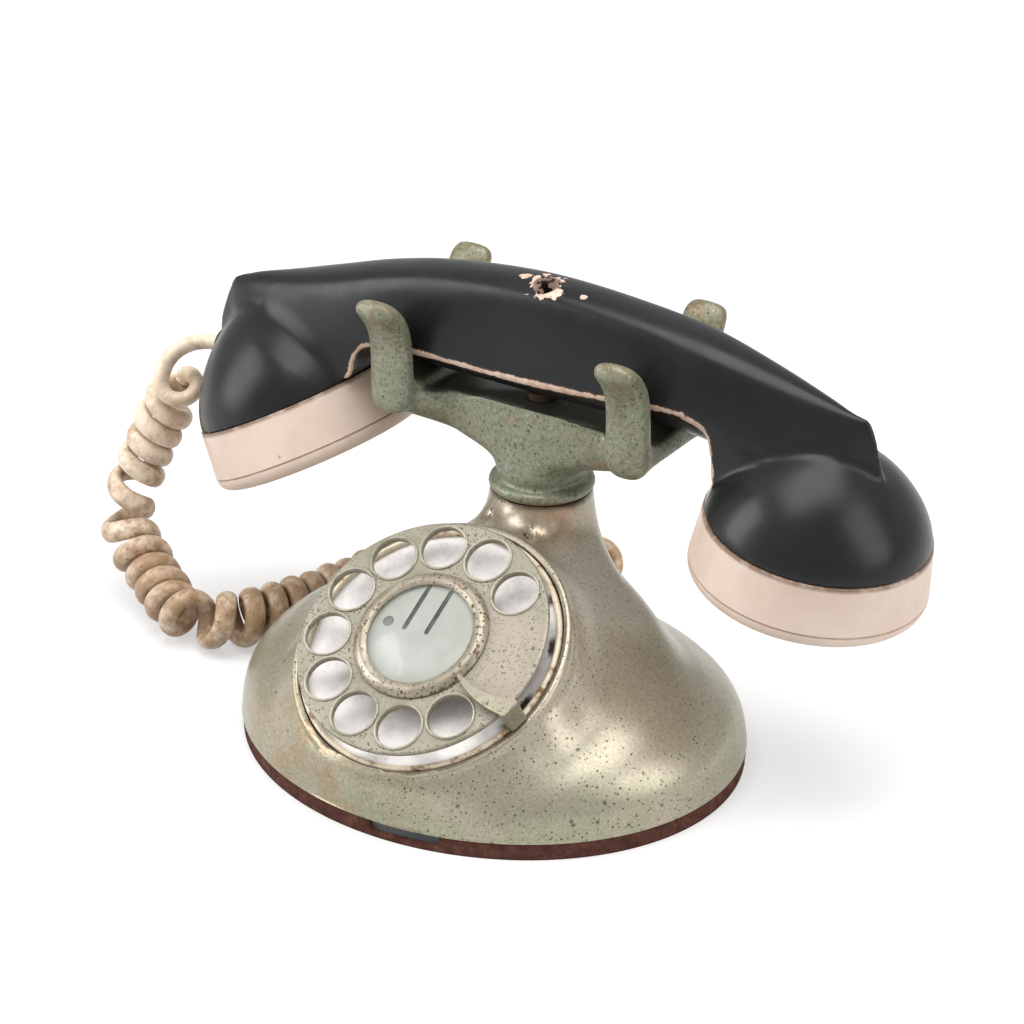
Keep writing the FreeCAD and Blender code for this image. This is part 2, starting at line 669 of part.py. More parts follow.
def card_slot(start, end, bottom, top):
    """Round-ended groove from one point of the card to another."""
    run = V(end[0] - start[0], end[1] - start[1], 0)
    groove = box(0, run.Length, -CARD_SLOT_R, CARD_SLOT_R, bottom, top)
    groove.rotate(V(0, 0, 0), V(0, 0, 1), math.degrees(math.atan2(run.y, run.x)))
    groove = at(groove, start[0], start[1])
    return groove.fuse([disc(CARD_SLOT_R, bottom, top, *start), disc(CARD_SLOT_R, bottom, top, *end)])


def make_dial_card():
    top = WHEEL_TOP + CARD_THICK
    card = disc(CARD_R, WHEEL_TOP, top)
    marks = [disc(CARD_DOT_R, top - CARD_MARK_DEPTH, top + 1, *CARD_DOT)]
    marks += [card_slot(start, end, top - CARD_MARK_DEPTH, top + 1) for start, end in CARD_SLOTS]
    return card.cut(marks)


FLANGE_TOP = WHEEL_TOP + CARD_THICK + CARD_GAP + WINDOW_THICK
RING_POCKET_R = CARD_R + 6 * CARD_GAP


def make_card_ring():
    crest = WHEEL_TOP + CARD_RING_RISE
    foot = (CARD_RING_R, 0, WHEEL_TOP)
    edge = (CARD_RING_R, 0, WHEEL_TOP + CARD_RING_EDGE)
    mouth = (WINDOW_R + CARD_GAP, 0, crest - CARD_RING_DIP)
    lip = (WINDOW_R + CARD_GAP, 0, FLANGE_TOP + CARD_GAP)
    pocket = (RING_POCKET_R, 0, FLANGE_TOP + CARD_GAP)
    seat = (RING_POCKET_R, 0, WHEEL_TOP)
    return turned_face([line(seat, foot), line(foot, edge), arc(edge, (CARD_RING_CREST_R, 0, crest), mouth),
                        line(mouth, lip), line(lip, pocket), line(pocket, seat)])


def crown(half_chord, rim, rise):
    """Cap of a ball over a disc of the given radius, from rim height up to its crest."""
    ball_r = (half_chord ** 2 + rise ** 2) / (2 * rise)
    return Part.makeSphere(ball_r, V(0, 0, rim + rise - ball_r)).common(disc(half_chord, rim, rim + 2 * rise))


def make_card_window():
    bottom = FLANGE_TOP - WINDOW_THICK
    flange = disc(RING_POCKET_R - CARD_GAP, bottom, FLANGE_TOP)
    return flange.fuse(crown(WINDOW_R, FLANGE_TOP, WINDOW_CROWN)).cut(
        crown(WINDOW_R - WINDOW_THICK, bottom, WINDOW_CROWN))


# Dial: shaft, mainspring and frame behind the number plate

GEAR_1 = TRAIN_TOP - GEAR_THICK
GEAR_2_TOP = GEAR_1 - GEAR_GAP
GEAR_2 = GEAR_2_TOP - GEAR_THICK
GEAR_3_TOP = GEAR_2 - GEAR_GAP
FRAME_BACK = CUP_BACK - FRAME_THICK
BRIDGE_BACK = BRIDGE_TOP - BRIDGE_THICK
ARBOR_PLACE = polar(MAIN_MODULE * (MAIN_TEETH + PINION_TEETH) / 2, ARBOR_ANGLE)
FAST_RUN = polar(FAST_MODULE * (FAST_TEETH + GOVERNOR_TEETH) / 2, GOVERNOR_ANGLE)
GOVERNOR_PLACE = (ARBOR_PLACE[0] + FAST_RUN[0], ARBOR_PLACE[1] + FAST_RUN[1])
ARBOR_TOP = TRAIN_TOP
ARBOR_BOTTOM = BRIDGE_TOP + MOVE_GAP
GOVERNOR_FLOOR = BRIDGE_TOP + GOVERNOR_CUP_WALL
GOVERNOR_BOTTOM = GOVERNOR_FLOOR + MOVE_GAP


def make_dial_shaft():
    collar_bottom = CUP_BACK + BUSH_FLANGE + MOVE_GAP
    tap_r = WHEEL_SCREW_R + SCREW_GAP
    tap_bottom = WHEEL_TOP - PAN_DEPTH - WHEEL_SCREW_LENGTH - SCREW_GAP
    end = BRIDGE_BACK + 0.2
    return turned([(tap_r, SHAFT_TOP), (SHAFT_R, SHAFT_TOP), (SHAFT_R, SPRING_BOTTOM + SPRING_HEIGHT),
                   (SPRING_COLLAR_R, SPRING_BOTTOM + SPRING_HEIGHT), (SPRING_COLLAR_R, collar_bottom),
                   (SHAFT_R, collar_bottom), (SHAFT_R, GEAR_1), (SHAFT_END_R, GEAR_1),
                   (SHAFT_END_R, end), (0, end), (0, tap_bottom), (tap_r, tap_bottom)])


def make_shaft_bush():
    return turned([(SHAFT_R + RUN_GAP, FRAME_BACK), (BUSH_R, FRAME_BACK), (BUSH_R, CUP_BACK),
                   (BUSH_FLANGE_R, CUP_BACK), (BUSH_FLANGE_R, CUP_BACK + BUSH_FLANGE),
                   (SHAFT_R + RUN_GAP, CUP_BACK + BUSH_FLANGE)])


def make_mainspring():
    """Flat spiral spring: a strip between two spirals."""
    steps = 24 * SPRING_TURNS
    sides = []
    for offset in (-SPRING_LEAF / 2, SPRING_LEAF / 2):
        points = []
        for k in range(steps + 1):
            turn = SPRING_TURNS * k / steps
            x, y = polar(SPRING_INNER_R + SPRING_STEP * turn + offset, 360 * turn)
            points.append(V(x, y, SPRING_BOTTOM))
        curve = Part.BSplineCurve()
        curve.interpolate(points)
        sides.append(curve.toShape())
    ends = [Part.makeLine(sides[0].Vertexes[k].Point, sides[1].Vertexes[k].Point) for k in (0, 1)]
    outline = Part.Wire(Part.__sortEdges__([sides[0], ends[1], sides[1], ends[0]]))
    return Part.Face(outline).extrude(V(0, 0, SPRING_HEIGHT))


def make_dial_frame():
    spring_end_r = SPRING_INNER_R + SPRING_STEP * SPRING_TURNS + SPRING_LEAF / 2
    spring_post = disc(SPRING_POST_R, CUP_BACK, SPRING_BOTTOM + SPRING_HEIGHT,
                       spring_end_r + SPRING_POST_R, 0)
    posts = [disc(POST_R, BRIDGE_TOP, FRAME_BACK, *polar(*place)) for place in POSTS]
    block = pulse_block()
    frame = disc(CUP_WALL_R, FRAME_BACK, CUP_BACK).fuse(posts + [spring_post, block])
    holes = [disc(BUSH_R, FRAME_BACK - 1, CUP_BACK + 1)]
    for place in (ARBOR_PLACE, GOVERNOR_PLACE):
        holes.append(disc(PIVOT_R + RUN_GAP, FRAME_BACK - 1, CUP_BACK + 1, *place))
    for azimuth in LUG_AZIMUTHS:
        x, y = polar(FRAME_SCREW_CIRCLE_R, azimuth)
        holes.append(disc(FRAME_SCREW_R + SCREW_GAP, FRAME_BACK - 1, CUP_BACK + 1, x, y))
    for place in POSTS:
        tap_top = BRIDGE_BACK + BRIDGE_SCREW_LENGTH + SCREW_GAP
        holes.append(disc(BRIDGE_SCREW_R + SCREW_GAP, BRIDGE_TOP - 1, tap_top, *polar(*place)))
    return frame.cut(holes)


def in_arbor_frame(shape):
    moved = shape.copy()
    moved.rotate(V(0, 0, 0), V(0, 0, 1), ARBOR_ANGLE)
    return at(moved, *ARBOR_PLACE)


def pulse_block():
    block = box(PULSE_BLOCK_IN, PULSE_BLOCK_OUT, -PULSE_BLOCK_FAR, -PULSE_BLOCK_NEAR,
                PULSE_BLOCK_BOTTOM, FRAME_BACK)
    slots = []
    for reach in PULSE_LEAVES:
        slots.append(box(reach - LEAF_THICK / 2, reach + LEAF_THICK / 2, -PULSE_BLOCK_FAR - 1,
                         -PULSE_BLOCK_NEAR + 1, PULSE_BLOCK_BOTTOM - 1, GEAR_2 - MOVE_GAP))
    return in_arbor_frame(block.cut(slots))


def make_pulse_contacts():
    top = GEAR_2 - MOVE_GAP
    leaves = []
    for reach in PULSE_LEAVES:
        leaf = box(reach - LEAF_THICK / 2, reach + LEAF_THICK / 2, -PULSE_BLOCK_FAR,
                   PULSE_LEAF_REACH, top - LEAF_WIDTH, top)
        leaves.append(in_arbor_frame(leaf))
    return group(leaves)


def rounded_plate(corners, radius, z0, z1):
    """Plate whose outline runs round equal discs at its corners, given anticlockwise."""
    points = [V(x, y, z0) for x, y in corners]
    outward = []
    for k, here in enumerate(points):
        run = (points[(k + 1) % len(points)] - here).normalize()
        outward.append(V(run.y, -run.x, 0))
    edges = []
    for k, here in enumerate(points):
        before, after = outward[k - 1], outward[k]
        middle = (before + after).normalize()
        edges.append(Part.Arc(here + before * radius, here + middle * radius,
                              here + after * radius).toShape())
        following = points[(k + 1) % len(points)]
        edges.append(Part.makeLine(here + after * radius, following + after * radius))
    return Part.Face(Part.Wire(edges)).extrude(V(0, 0, z1 - z0))


def make_dial_bridge():
    corners = sorted([polar(*place) for place in POSTS], key=lambda p: math.atan2(p[1], p[0]))
    plate = rounded_plate(corners, BRIDGE_EDGE_R, BRIDGE_BACK, BRIDGE_TOP)
    arm = rounded_plate([(0, 0), ARBOR_PLACE, GOVERNOR_PLACE], BRIDGE_EDGE_R, BRIDGE_BACK, BRIDGE_TOP)
    holes = [disc(SHAFT_END_R + RUN_GAP, BRIDGE_BACK - 1, BRIDGE_TOP + 1)]
    for place in (ARBOR_PLACE, GOVERNOR_PLACE):
        holes.append(disc(PIVOT_R + RUN_GAP, BRIDGE_BACK - 1, BRIDGE_TOP + 1, *place))
    for place in POSTS:
        holes.append(disc(BRIDGE_SCREW_R + SCREW_GAP, BRIDGE_BACK - 1, BRIDGE_TOP + 1, *polar(*place)))
    return plate.fuse(arm).cut(holes)


def make_governor_cup():
    top = GEAR_2 - 2 * MOVE_GAP
    x, y = GOVERNOR_PLACE
    cup = disc(GOVERNOR_CUP_R, BRIDGE_TOP, top, x, y)
    cavity = disc(GOVERNOR_CUP_R - GOVERNOR_CUP_WALL, GOVERNOR_FLOOR, top + 1, x, y)
    return cup.cut([cavity, disc(PIVOT_R + RUN_GAP, BRIDGE_TOP - 1, top, x, y)])


# Dial: gears and what turns on the small arbors

def gear_face(teeth, module, z, first_angle):
    """Involute gear outline; first_angle is the middle of one of its teeth."""
    pitch_r = module * teeth / 2
    pressure = math.radians(PRESSURE_ANGLE)
    base_r = pitch_r * math.cos(pressure)
    tip_r = pitch_r + TOOTH_TIP * module
    root_r = pitch_r - TOOTH_ROOT * module
    tooth = (math.pi * module - TOOTH_BACKLASH) / (4 * pitch_r)
    half_base = tooth + math.tan(pressure) - pressure
    start_r = max(base_r, root_r)
    radii = [start_r + (tip_r - start_r) * k / 4 for k in range(5)]
    flank = []
    for radius in radii:
        angle = math.acos(min(base_r / radius, 1.0))
        flank.append((radius, half_base - math.tan(angle) + angle))
    if root_r < base_r:
        flank.insert(0, (root_r, flank[0][1]))
    outline = []
    for k in range(teeth):
        middle = math.radians(first_angle) + 2 * math.pi * k / teeth
        side = [(r, middle - half) for r, half in flank] + [(r, middle + half) for r, half in flank[::-1]]
        outline += [V(r * math.cos(a), r * math.sin(a), z) for r, a in side]
    return Part.Face(Part.makePolygon(outline + [outline[0]]))


def gear(teeth, module, bottom, first_angle):
    return gear_face(teeth, module, bottom, first_angle).extrude(V(0, 0, GEAR_THICK))


def make_main_gear():
    wheel = gear(MAIN_TEETH, MAIN_MODULE, GEAR_1, ARBOR_ANGLE)
    return wheel.cut(disc(SHAFT_R, GEAR_1 - 1, TRAIN_TOP + 1))


def arbor_shaft(bottom, place, hub_r):
    """Arbor with a pivot at each end."""
    x, y = place
    return disc(hub_r, bottom, ARBOR_TOP, x, y).fuse(
        disc(PIVOT_R, BRIDGE_BACK + 0.2, ARBOR_TOP + PIVOT_LENGTH, x, y))


def make_pulse_arbor():
    facing = ARBOR_ANGLE + 180 + 180 / PINION_TEETH
    pinion = at(gear(PINION_TEETH, MAIN_MODULE, GEAR_1, facing), *ARBOR_PLACE)
    return arbor_shaft(ARBOR_BOTTOM, ARBOR_PLACE, ARBOR_R).fuse(pinion)


def make_fast_gear():
    wheel = gear(FAST_TEETH, FAST_MODULE, GEAR_2, GOVERNOR_ANGLE)
    return at(wheel.cut(disc(ARBOR_R, GEAR_2 - 1, TRAIN_TOP)), *ARBOR_PLACE)


def make_pulse_cam():
    cam = disc(CAM_R, GEAR_3_TOP - CAM_THICK, GEAR_3_TOP)
    cam = cam.common(box(-CAM_FLAT, CAM_FLAT, -CAM_R, CAM_R, BRIDGE_TOP, TRAIN_TOP))
    return at(cam.cut(disc(ARBOR_R, BRIDGE_TOP, TRAIN_TOP)), *ARBOR_PLACE)


def make_governor_arbor():
    facing = GOVERNOR_ANGLE + 180 + 180 / GOVERNOR_TEETH
    pinion = at(gear(GOVERNOR_TEETH, FAST_MODULE, GEAR_2, facing), *GOVERNOR_PLACE)
    return arbor_shaft(GOVERNOR_BOTTOM, GOVERNOR_PLACE, ARBOR_R).fuse(pinion)


def make_governor_weights():
    bottom = GOVERNOR_BOTTOM + MOVE_GAP
    top = bottom + WEIGHT_THICK
    disc_pair = disc(WEIGHT_R, bottom, top)
    slot = box(-WEIGHT_R, WEIGHT_R, -WEIGHT_SLOT / 2, WEIGHT_SLOT / 2, bottom - 1, top + 1)
    hub = disc(WEIGHT_HUB_R, bottom, top)
    weights = disc_pair.cut(slot).fuse(hub).cut(disc(ARBOR_R, bottom - 1, top + 1))
    return at(weights, *GOVERNOR_PLACE)


def screws_round(circle_r, azimuths, start, one):
    return group([at(one, *polar(circle_r, azimuth), start) for azimuth in azimuths])


def make_frame_screws():
    one = screw(FRAME_SCREW_R, FRAME_SCREW_HEAD_R, SCREW_HEAD, FRAME_SCREW_LENGTH)
    return screws_round(FRAME_SCREW_CIRCLE_R, LUG_AZIMUTHS, FRAME_BACK, one)


def make_dial_screws():
    one = screw(CUP_SCREW_R - SCREW_GAP, CUP_SCREW_HEAD_R, SCREW_HEAD, CUP_SCREW_LENGTH)
    return screws_round(CUP_SCREW_CIRCLE_R, CUP_SCREW_AZIMUTHS, FLANGE_BOTTOM - LEDGE_DEPTH, one)


def make_bridge_screws():
    one = screw(BRIDGE_SCREW_R, POST_R, SCREW_HEAD, BRIDGE_SCREW_LENGTH)
    return group([at(one, *polar(*place), BRIDGE_BACK) for place in POSTS])


# Base plate, felt and what stands on the plate

def oval(half_x, half_y, z0, z1):
    edge = Part.Ellipse(V(0, 0, z0), half_x, half_y).toShape()
    return Part.Face(Part.Wire([edge])).extrude(V(0, 0, z1 - z0))


def make_base_plate():
    plate = oval(BASE_HALF_X - PLATE_INSET, BASE_HALF_Y - PLATE_INSET, FELT_FLOOR, EDGE_Z)
    return plate.cut([disc(BASE_SCREW_R, 0, 2 * EDGE_Z, x, y) for x, y in BOSS_PLACES])


def make_felt_pad():
    pad = oval(BASE_HALF_X - FELT_INSET, BASE_HALF_Y - FELT_INSET, 0, EDGE_Z)
    inset = PLATE_INSET - PLATE_GAP
    room = oval(BASE_HALF_X - inset, BASE_HALF_Y - inset, FELT_FLOOR, 2 * EDGE_Z)
    corners = [(0, 0)] + [polar(2 * BASE_HALF_X, azimuth) for azimuth in TEAR_AZIMUTHS]
    outline = [V(x, y, FELT_FLOOR) for x, y in corners]
    tear = Part.Face(Part.makePolygon(outline + [outline[0]])).extrude(V(0, 0, 2 * EDGE_Z))
    recesses = [disc(BASE_SCREW_RECESS_R, -1, FELT_FLOOR + 1, x, y) for x, y in BOSS_PLACES]
    return pad.cut([room, tear] + recesses)


def make_base_screws():
    one = screw(BASE_SCREW_R - SCREW_GAP, BASE_SCREW_HEAD_R, BASE_SCREW_HEAD, BASE_SCREW_LENGTH)
    return group([at(one, x, y, FELT_FLOOR) for x, y in BOSS_PLACES])


def strip_places():
    step = (STRIP_X[1] - STRIP_X[0]) / STRIP_SCREWS
    middle = (STRIP_Y[0] + STRIP_Y[1]) / 2
    return [(STRIP_X[0] + step * (k + 0.5), middle) for k in range(STRIP_SCREWS)]


def make_terminal_strip():
    top = EDGE_Z + STRIP_H
    strip = box(*STRIP_X, *STRIP_Y, EDGE_Z, top)
    half = (STRIP_X[1] - STRIP_X[0]) / STRIP_SCREWS / 2 - STRIP_WALL / 2
    cuts = []
    for x, y in strip_places():
        cuts.append(box(x - half, x + half, STRIP_Y[0] + STRIP_WALL, STRIP_Y[1] - STRIP_WALL,
                        top - STRIP_POCKET, top + 1))
        cuts.append(disc(STRIP_SCREW_R + SCREW_GAP, EDGE_Z + 1, top, x, y))
    return strip.cut(cuts)


def make_terminal_screws():
    one = screw_down(STRIP_SCREW_R, STRIP_SCREW_HEAD_R, SCREW_HEAD, STRIP_SCREW_LENGTH)
    return group([at(one, x, y, EDGE_Z + STRIP_H - STRIP_POCKET) for x, y in strip_places()])


def grommet(x, z, y_face, bore_r, reach):
    """Round plug pushed into a cord hole from behind, with a flat head outside."""
    plug = Part.makeCylinder(bore_r, reach, V(x, y_face - reach, z), V(0, 1, 0))
    head = Part.makeCylinder(bore_r + GROMMET_RIM, GROMMET_HEAD, V(x, y_face, z), V(0, 1, 0))
    return plug.fuse(head)


def make_handset_cord_grommet():
    return grommet(INLET_X, INLET_Z, INLET_Y, INLET_BORE_R, INLET_DEPTH)


def make_line_cord_inlet():
    plug = grommet(LINE_X, LINE_Z, LINE_Y, LINE_BORE_R, INLET_DEPTH)
    return plug.cut(cord_bore(LINE_X, LINE_Z, LINE_Y, LINE_CORD_R))


# Cradle

def rounded_section(centre, across, along, half_a, half_b, power):
    """Closed curve between an ellipse (power 2) and a rectangle, in the plane of two directions."""
    points = []
    for k in range(24):
        c = math.cos(2 * math.pi * (k + 0.5) / 24)
        s = math.sin(2 * math.pi * (k + 0.5) / 24)
        a = math.copysign(abs(c) ** (2 / power), c) * half_a
        b = math.copysign(abs(s) ** (2 / power), s) * half_b
        points.append(centre + across * a + along * b)
    return closed_curve(points)


def neck_base():
    """Spigot, bead and stem, turned about the neck's axis."""
    crest = NECK_TOP_Z + BEAD_H / 2
    bead_in = BEAD_R - BEAD_H / 4
    high = NECK_TOP_Z + BEAD_H
    top = FUNNEL[1][2]
    edges = [line((0, 0, SPIGOT_BOTTOM), (SPIGOT_R, 0, SPIGOT_BOTTOM)),
             line((SPIGOT_R, 0, SPIGOT_BOTTOM), (SPIGOT_R, 0, NECK_TOP_Z)),
             line((SPIGOT_R, 0, NECK_TOP_Z), (bead_in, 0, NECK_TOP_Z)),
             arc((bead_in, 0, NECK_TOP_Z), (BEAD_R, 0, crest), (bead_in, 0, high)),
             line((bead_in, 0, high), (STEM_R - 1, 0, high)),
             line((STEM_R - 1, 0, high), (STEM_R - 1, 0, top)), line((STEM_R - 1, 0, top), (0, 0, top)),
             line((0, 0, top), (0, 0, SPIGOT_BOTTOM))]
    return turned_face(edges)


def funnel():
    wires = []
    for half_x, half_y, z, power in FUNNEL:
        wires.append(rounded_section(V(0, 0, z), V(1, 0, 0), V(0, 1, 0), half_x, half_y, power))
    solid = Part.makeLoft(wires, True, False)
    reach = FUNNEL[-1][0]
    drop = CRADLE_TOP - CRADLE_END_TOP
    crown_r = (reach ** 2 + drop ** 2) / (2 * drop)
    crown = Part.makeCylinder(crown_r, 4 * reach, V(0, -2 * reach, CRADLE_TOP - crown_r), V(0, 1, 0))
    return solid.common(crown)


def prong(x, tip_y, tip_z):
    """One upright of the cradle; a negative tip_y leans to the front."""
    side = math.copysign(1.0, tip_y)
    centres = []
    for flare, share, _, _ in PRONG_SHAPE:
        y = side * (PRONG_Y + flare * (abs(tip_y) - PRONG_Y))
        centres.append(V(x, y, PRONG_BOTTOM + share * (tip_z - PRONG_BOTTOM)))
    wires = []
    for k, centre in enumerate(centres):
        run = (centres[min(k + 1, len(centres) - 1)] - centres[max(k - 1, 0)]).normalize()
        along = V(0, run.z, -run.y)
        _, _, thick, wide = PRONG_SHAPE[k]
        wires.append(rounded_section(centre, V(1, 0, 0), along, wide, thick, PRONG_SQUARE))
    return Part.makeLoft(wires, True, False)


def saddle(x):
    middle = (SADDLE_TOP + SADDLE_BOTTOM) / 2
    half_z = (SADDLE_TOP - SADDLE_BOTTOM) / 2
    wires = [rounded_section(V(x, y, middle), V(1, 0, 0), V(0, 0, 1), SADDLE_HALF, half_z, SADDLE_SQUARE)
             for y in (-SADDLE_REACH, SADDLE_REACH)]
    return Part.makeLoft(wires, True, True)


def make_cradle():
    pieces = [funnel()]
    for x in (-PRONG_X, PRONG_X):
        pieces += [saddle(x), prong(x, -FRONT_TIP_Y, FRONT_TIP_Z), prong(x, REAR_TIP_Y, REAR_TIP_Z)]
    bore_r = PLUNGER_R + PLUNGER_GAP
    head_room_r = PLUNGER_HEAD_R + MOVE_GAP
    head_bottom = SADDLE_TOP - PLUNGER_HEAD - MOVE_GAP
    bores = [disc(bore_r, SPIGOT_BOTTOM - 1, CHAMBER_BOTTOM + 1), disc(bore_r, CHAMBER_TOP - 1, SADDLE_TOP),
             disc(CHAMBER_R, CHAMBER_BOTTOM, CHAMBER_TOP), disc(head_room_r, head_bottom, 2 * SADDLE_TOP)]
    casting = neck_base().fuse(pieces).cut(bores)
    return at(casting, 0, NECK_Y)


def make_cradle_nut():
    """Ring nut with four slots round its edge for a spanner."""
    top = NECK_TOP_Z - NECK_WEB
    nut = ring(NUT_R, SPIGOT_R + SPIGOT_GAP, top - NUT_H, top)
    slots = []
    for turn in range(4):
        slot = box(NUT_SLOT_R, NUT_R + 1, -NUT_SLOT / 2, NUT_SLOT / 2, top - NUT_H - 1, top + 1)
        slot.rotate(V(0, 0, 0), V(0, 0, 1), 90 * turn + 45)
        slots.append(slot)
    return at(nut.cut(slots), 0, NECK_Y)


# Hook switch

def make_hook_plunger():
    top = HANDSET_BOTTOM - HANDSET_GAP
    rod = disc(PLUNGER_R, PLUNGER_BOTTOM, top, 0, NECK_Y)
    head = disc(PLUNGER_HEAD_R, top - PLUNGER_HEAD, top, 0, NECK_Y)
    collar = disc(COLLAR_R, COLLAR_Z, COLLAR_Z + COLLAR_H, 0, NECK_Y)
    return rod.fuse([head, collar])


def make_plunger_spring():
    low = CHAMBER_BOTTOM + COIL_WIRE_R
    height = COLLAR_Z - CHAMBER_BOTTOM - 2 * COIL_WIRE_R
    path = Part.makeHelix(height / COIL_TURNS, height, COIL_R)
    profile = Part.Wire([Part.makeCircle(COIL_WIRE_R, V(COIL_R, 0, 0), V(0, 1, 0))])
    coil = Part.Wire(path.Edges).makePipeShell([profile], True, False)
    return at(coil, 0, NECK_Y, low)


HANDSET_BOTTOM = SADDLE_TOP + HANDSET_GAP
LEVER_TOP = PLUNGER_BOTTOM - HANDSET_GAP


def make_hook_lever():
    half = LEVER_WIDTH / 2
    eye = Part.makeCylinder(LEVER_EYE_R, LEVER_WIDTH, V(LEVER_PIVOT_X, NECK_Y - half, LEVER_PIVOT_Z),
                            V(0, 1, 0))
    arm = box(LEVER_TIP_X, LEVER_PIVOT_X, NECK_Y - half, NECK_Y + half, LEVER_TOP - LEVER_THICK, LEVER_TOP)
    web = box(LEVER_PIVOT_X - LEVER_EYE_R, LEVER_PIVOT_X, NECK_Y - half, NECK_Y + half,
              LEVER_PIVOT_Z, LEVER_TOP)
    finger = box(LEVER_PIVOT_X - LEVER_THICK / 2, LEVER_PIVOT_X + LEVER_THICK / 2, NECK_Y - half,
                 NECK_Y + half, LEVER_FINGER_Z, LEVER_PIVOT_Z)
    button = box(LEVER_PIVOT_X, HOOK_LEAVES[0] - LEAF_THICK / 2 - MOVE_GAP, NECK_Y - LEVER_BUTTON_HALF,
                 NECK_Y + LEVER_BUTTON_HALF, LEVER_FINGER_Z, LEVER_FINGER_Z + LEVER_BUTTON_H)
    bore = Part.makeCylinder(LEVER_PIN_R + RUN_GAP, 2 * LEVER_WIDTH,
                             V(LEVER_PIVOT_X, NECK_Y - LEVER_WIDTH, LEVER_PIVOT_Z), V(0, 1, 0))
    return eye.fuse([arm, web, finger, button]).cut(bore)


def lever_pin_bore(radius, reach):
    return Part.makeCylinder(radius, 2 * reach, V(LEVER_PIVOT_X, NECK_Y - reach, LEVER_PIVOT_Z), V(0, 1, 0))


CHEEK_INNER = LEVER_WIDTH / 2 + MOVE_GAP
CHEEK_OUTER = CHEEK_INNER + CHEEK_THICK


def make_lever_pin():
    return lever_pin_bore(LEVER_PIN_R, CHEEK_OUTER + CHEEK_THICK / 2)


def switch_cheek():
    """Upright plate that narrows to an eye round the lever's pin."""
    low = [(LEVER_PIVOT_X - CHEEK_EYE_R, LEVER_PIVOT_Z), (LEVER_PIVOT_X - BRACKET_HALF_X, CHEEK_SHOULDER_Z),
           (LEVER_PIVOT_X - BRACKET_HALF_X, EDGE_Z), (LEVER_PIVOT_X + BRACKET_HALF_X, EDGE_Z),
           (LEVER_PIVOT_X + BRACKET_HALF_X, CHEEK_SHOULDER_Z), (LEVER_PIVOT_X + CHEEK_EYE_R, LEVER_PIVOT_Z)]
    corners = [(x, 0, z) for x, z in low]
    edges = [line(corners[k], corners[k + 1]) for k in range(len(corners) - 1)]
    crest = (LEVER_PIVOT_X, 0, LEVER_PIVOT_Z + CHEEK_EYE_R)
    edges.append(arc(corners[-1], crest, corners[0]))
    return Part.Face(Part.Wire(edges)).extrude(V(0, CHEEK_THICK, 0))


def make_switch_bracket():
    left = LEVER_PIVOT_X - BRACKET_HALF_X
    right = LEVER_PIVOT_X + BRACKET_HALF_X
    foot_top = EDGE_Z + BRACKET_FOOT
    foot = box(left, HOOK_BLOCK_END, NECK_Y - BRACKET_FOOT_HALF_Y, NECK_Y + BRACKET_FOOT_HALF_Y,
               EDGE_Z, foot_top)
    cheeks = [at(switch_cheek(), 0, NECK_Y + y) for y in (-CHEEK_OUTER, CHEEK_INNER)]
    wall = box(left, right, NECK_Y - CHEEK_OUTER, NECK_Y + CHEEK_OUTER, EDGE_Z, HOOK_LEAF_BOTTOM)
    stack = box(right, HOOK_BLOCK_END, NECK_Y - CHEEK_OUTER, NECK_Y + CHEEK_OUTER,
                EDGE_Z, HOOK_LEAF_BOTTOM + HOOK_BLOCK_H)
    slots = [box(x - LEAF_THICK / 2, x + LEAF_THICK / 2, NECK_Y - HOOK_LEAF_HALF, NECK_Y + HOOK_LEAF_HALF,
                 HOOK_LEAF_BOTTOM, HOOK_LEAF_TOP) for x in HOOK_LEAVES]
    return foot.fuse(cheeks + [wall, stack]).cut(slots + [lever_pin_bore(LEVER_PIN_R, 2 * CHEEK_OUTER)])


def make_hook_contacts():
    leaves = [box(x - LEAF_THICK / 2, x + LEAF_THICK / 2, NECK_Y - HOOK_LEAF_HALF, NECK_Y + HOOK_LEAF_HALF,
                  HOOK_LEAF_BOTTOM, HOOK_LEAF_TOP) for x in HOOK_LEAVES]
    return group(leaves)


# Handset

def on_cup(shape, end):
    """From a cup's own frame (Z up through its dome) to the telephone's frame."""
    x, z, lean = end
    moved = shape.copy()
    moved.rotate(V(0, 0, 0), V(0, 1, 0), lean)
    return at(moved, x, NECK_Y, z)


TRANSMITTER = (TRANSMITTER_X, TRANSMITTER_Z, TRANSMITTER_LEAN)
RECEIVER = (RECEIVER_X, RECEIVER_Z, RECEIVER_LEAN)


def dome(radius, height):
    curve = Part.BSplineCurve()
    points = []
    for k in range(9):
        angle = math.pi * k / 16
        out, up = (part ** (2 / DOME_POWER) for part in (math.cos(angle), math.sin(angle)))
        points.append(V(radius * out, 0, height * up))
    curve.interpolate(Points=points, InitialTangent=V(0, 0, 1), FinalTangent=V(-1, 0, 0))
    edges = [line((0, 0, 0), (radius, 0, 0)), curve.toShape(), line((0, 0, height), (0, 0, 0))]
    return turned_face(edges)


def handle_section(x, top, roof, side, seam, under):
    flank_z = seam + (top - seam) * FLANK_HEIGHT
    flank_y = roof + (side - roof) * FLANK_BULGE
    under_y = min(UNDER_HALF, side * UNDER_HALF / (UNDER_HALF + 5))
    half = [(under_y, under), (side, seam), (flank_y, flank_z), (roof, top)]
    points = [V(x, y, z) for y, z in half] + [V(x, -y, z) for y, z in half[::-1]]
    return Part.makePolygon(points + [points[0]])


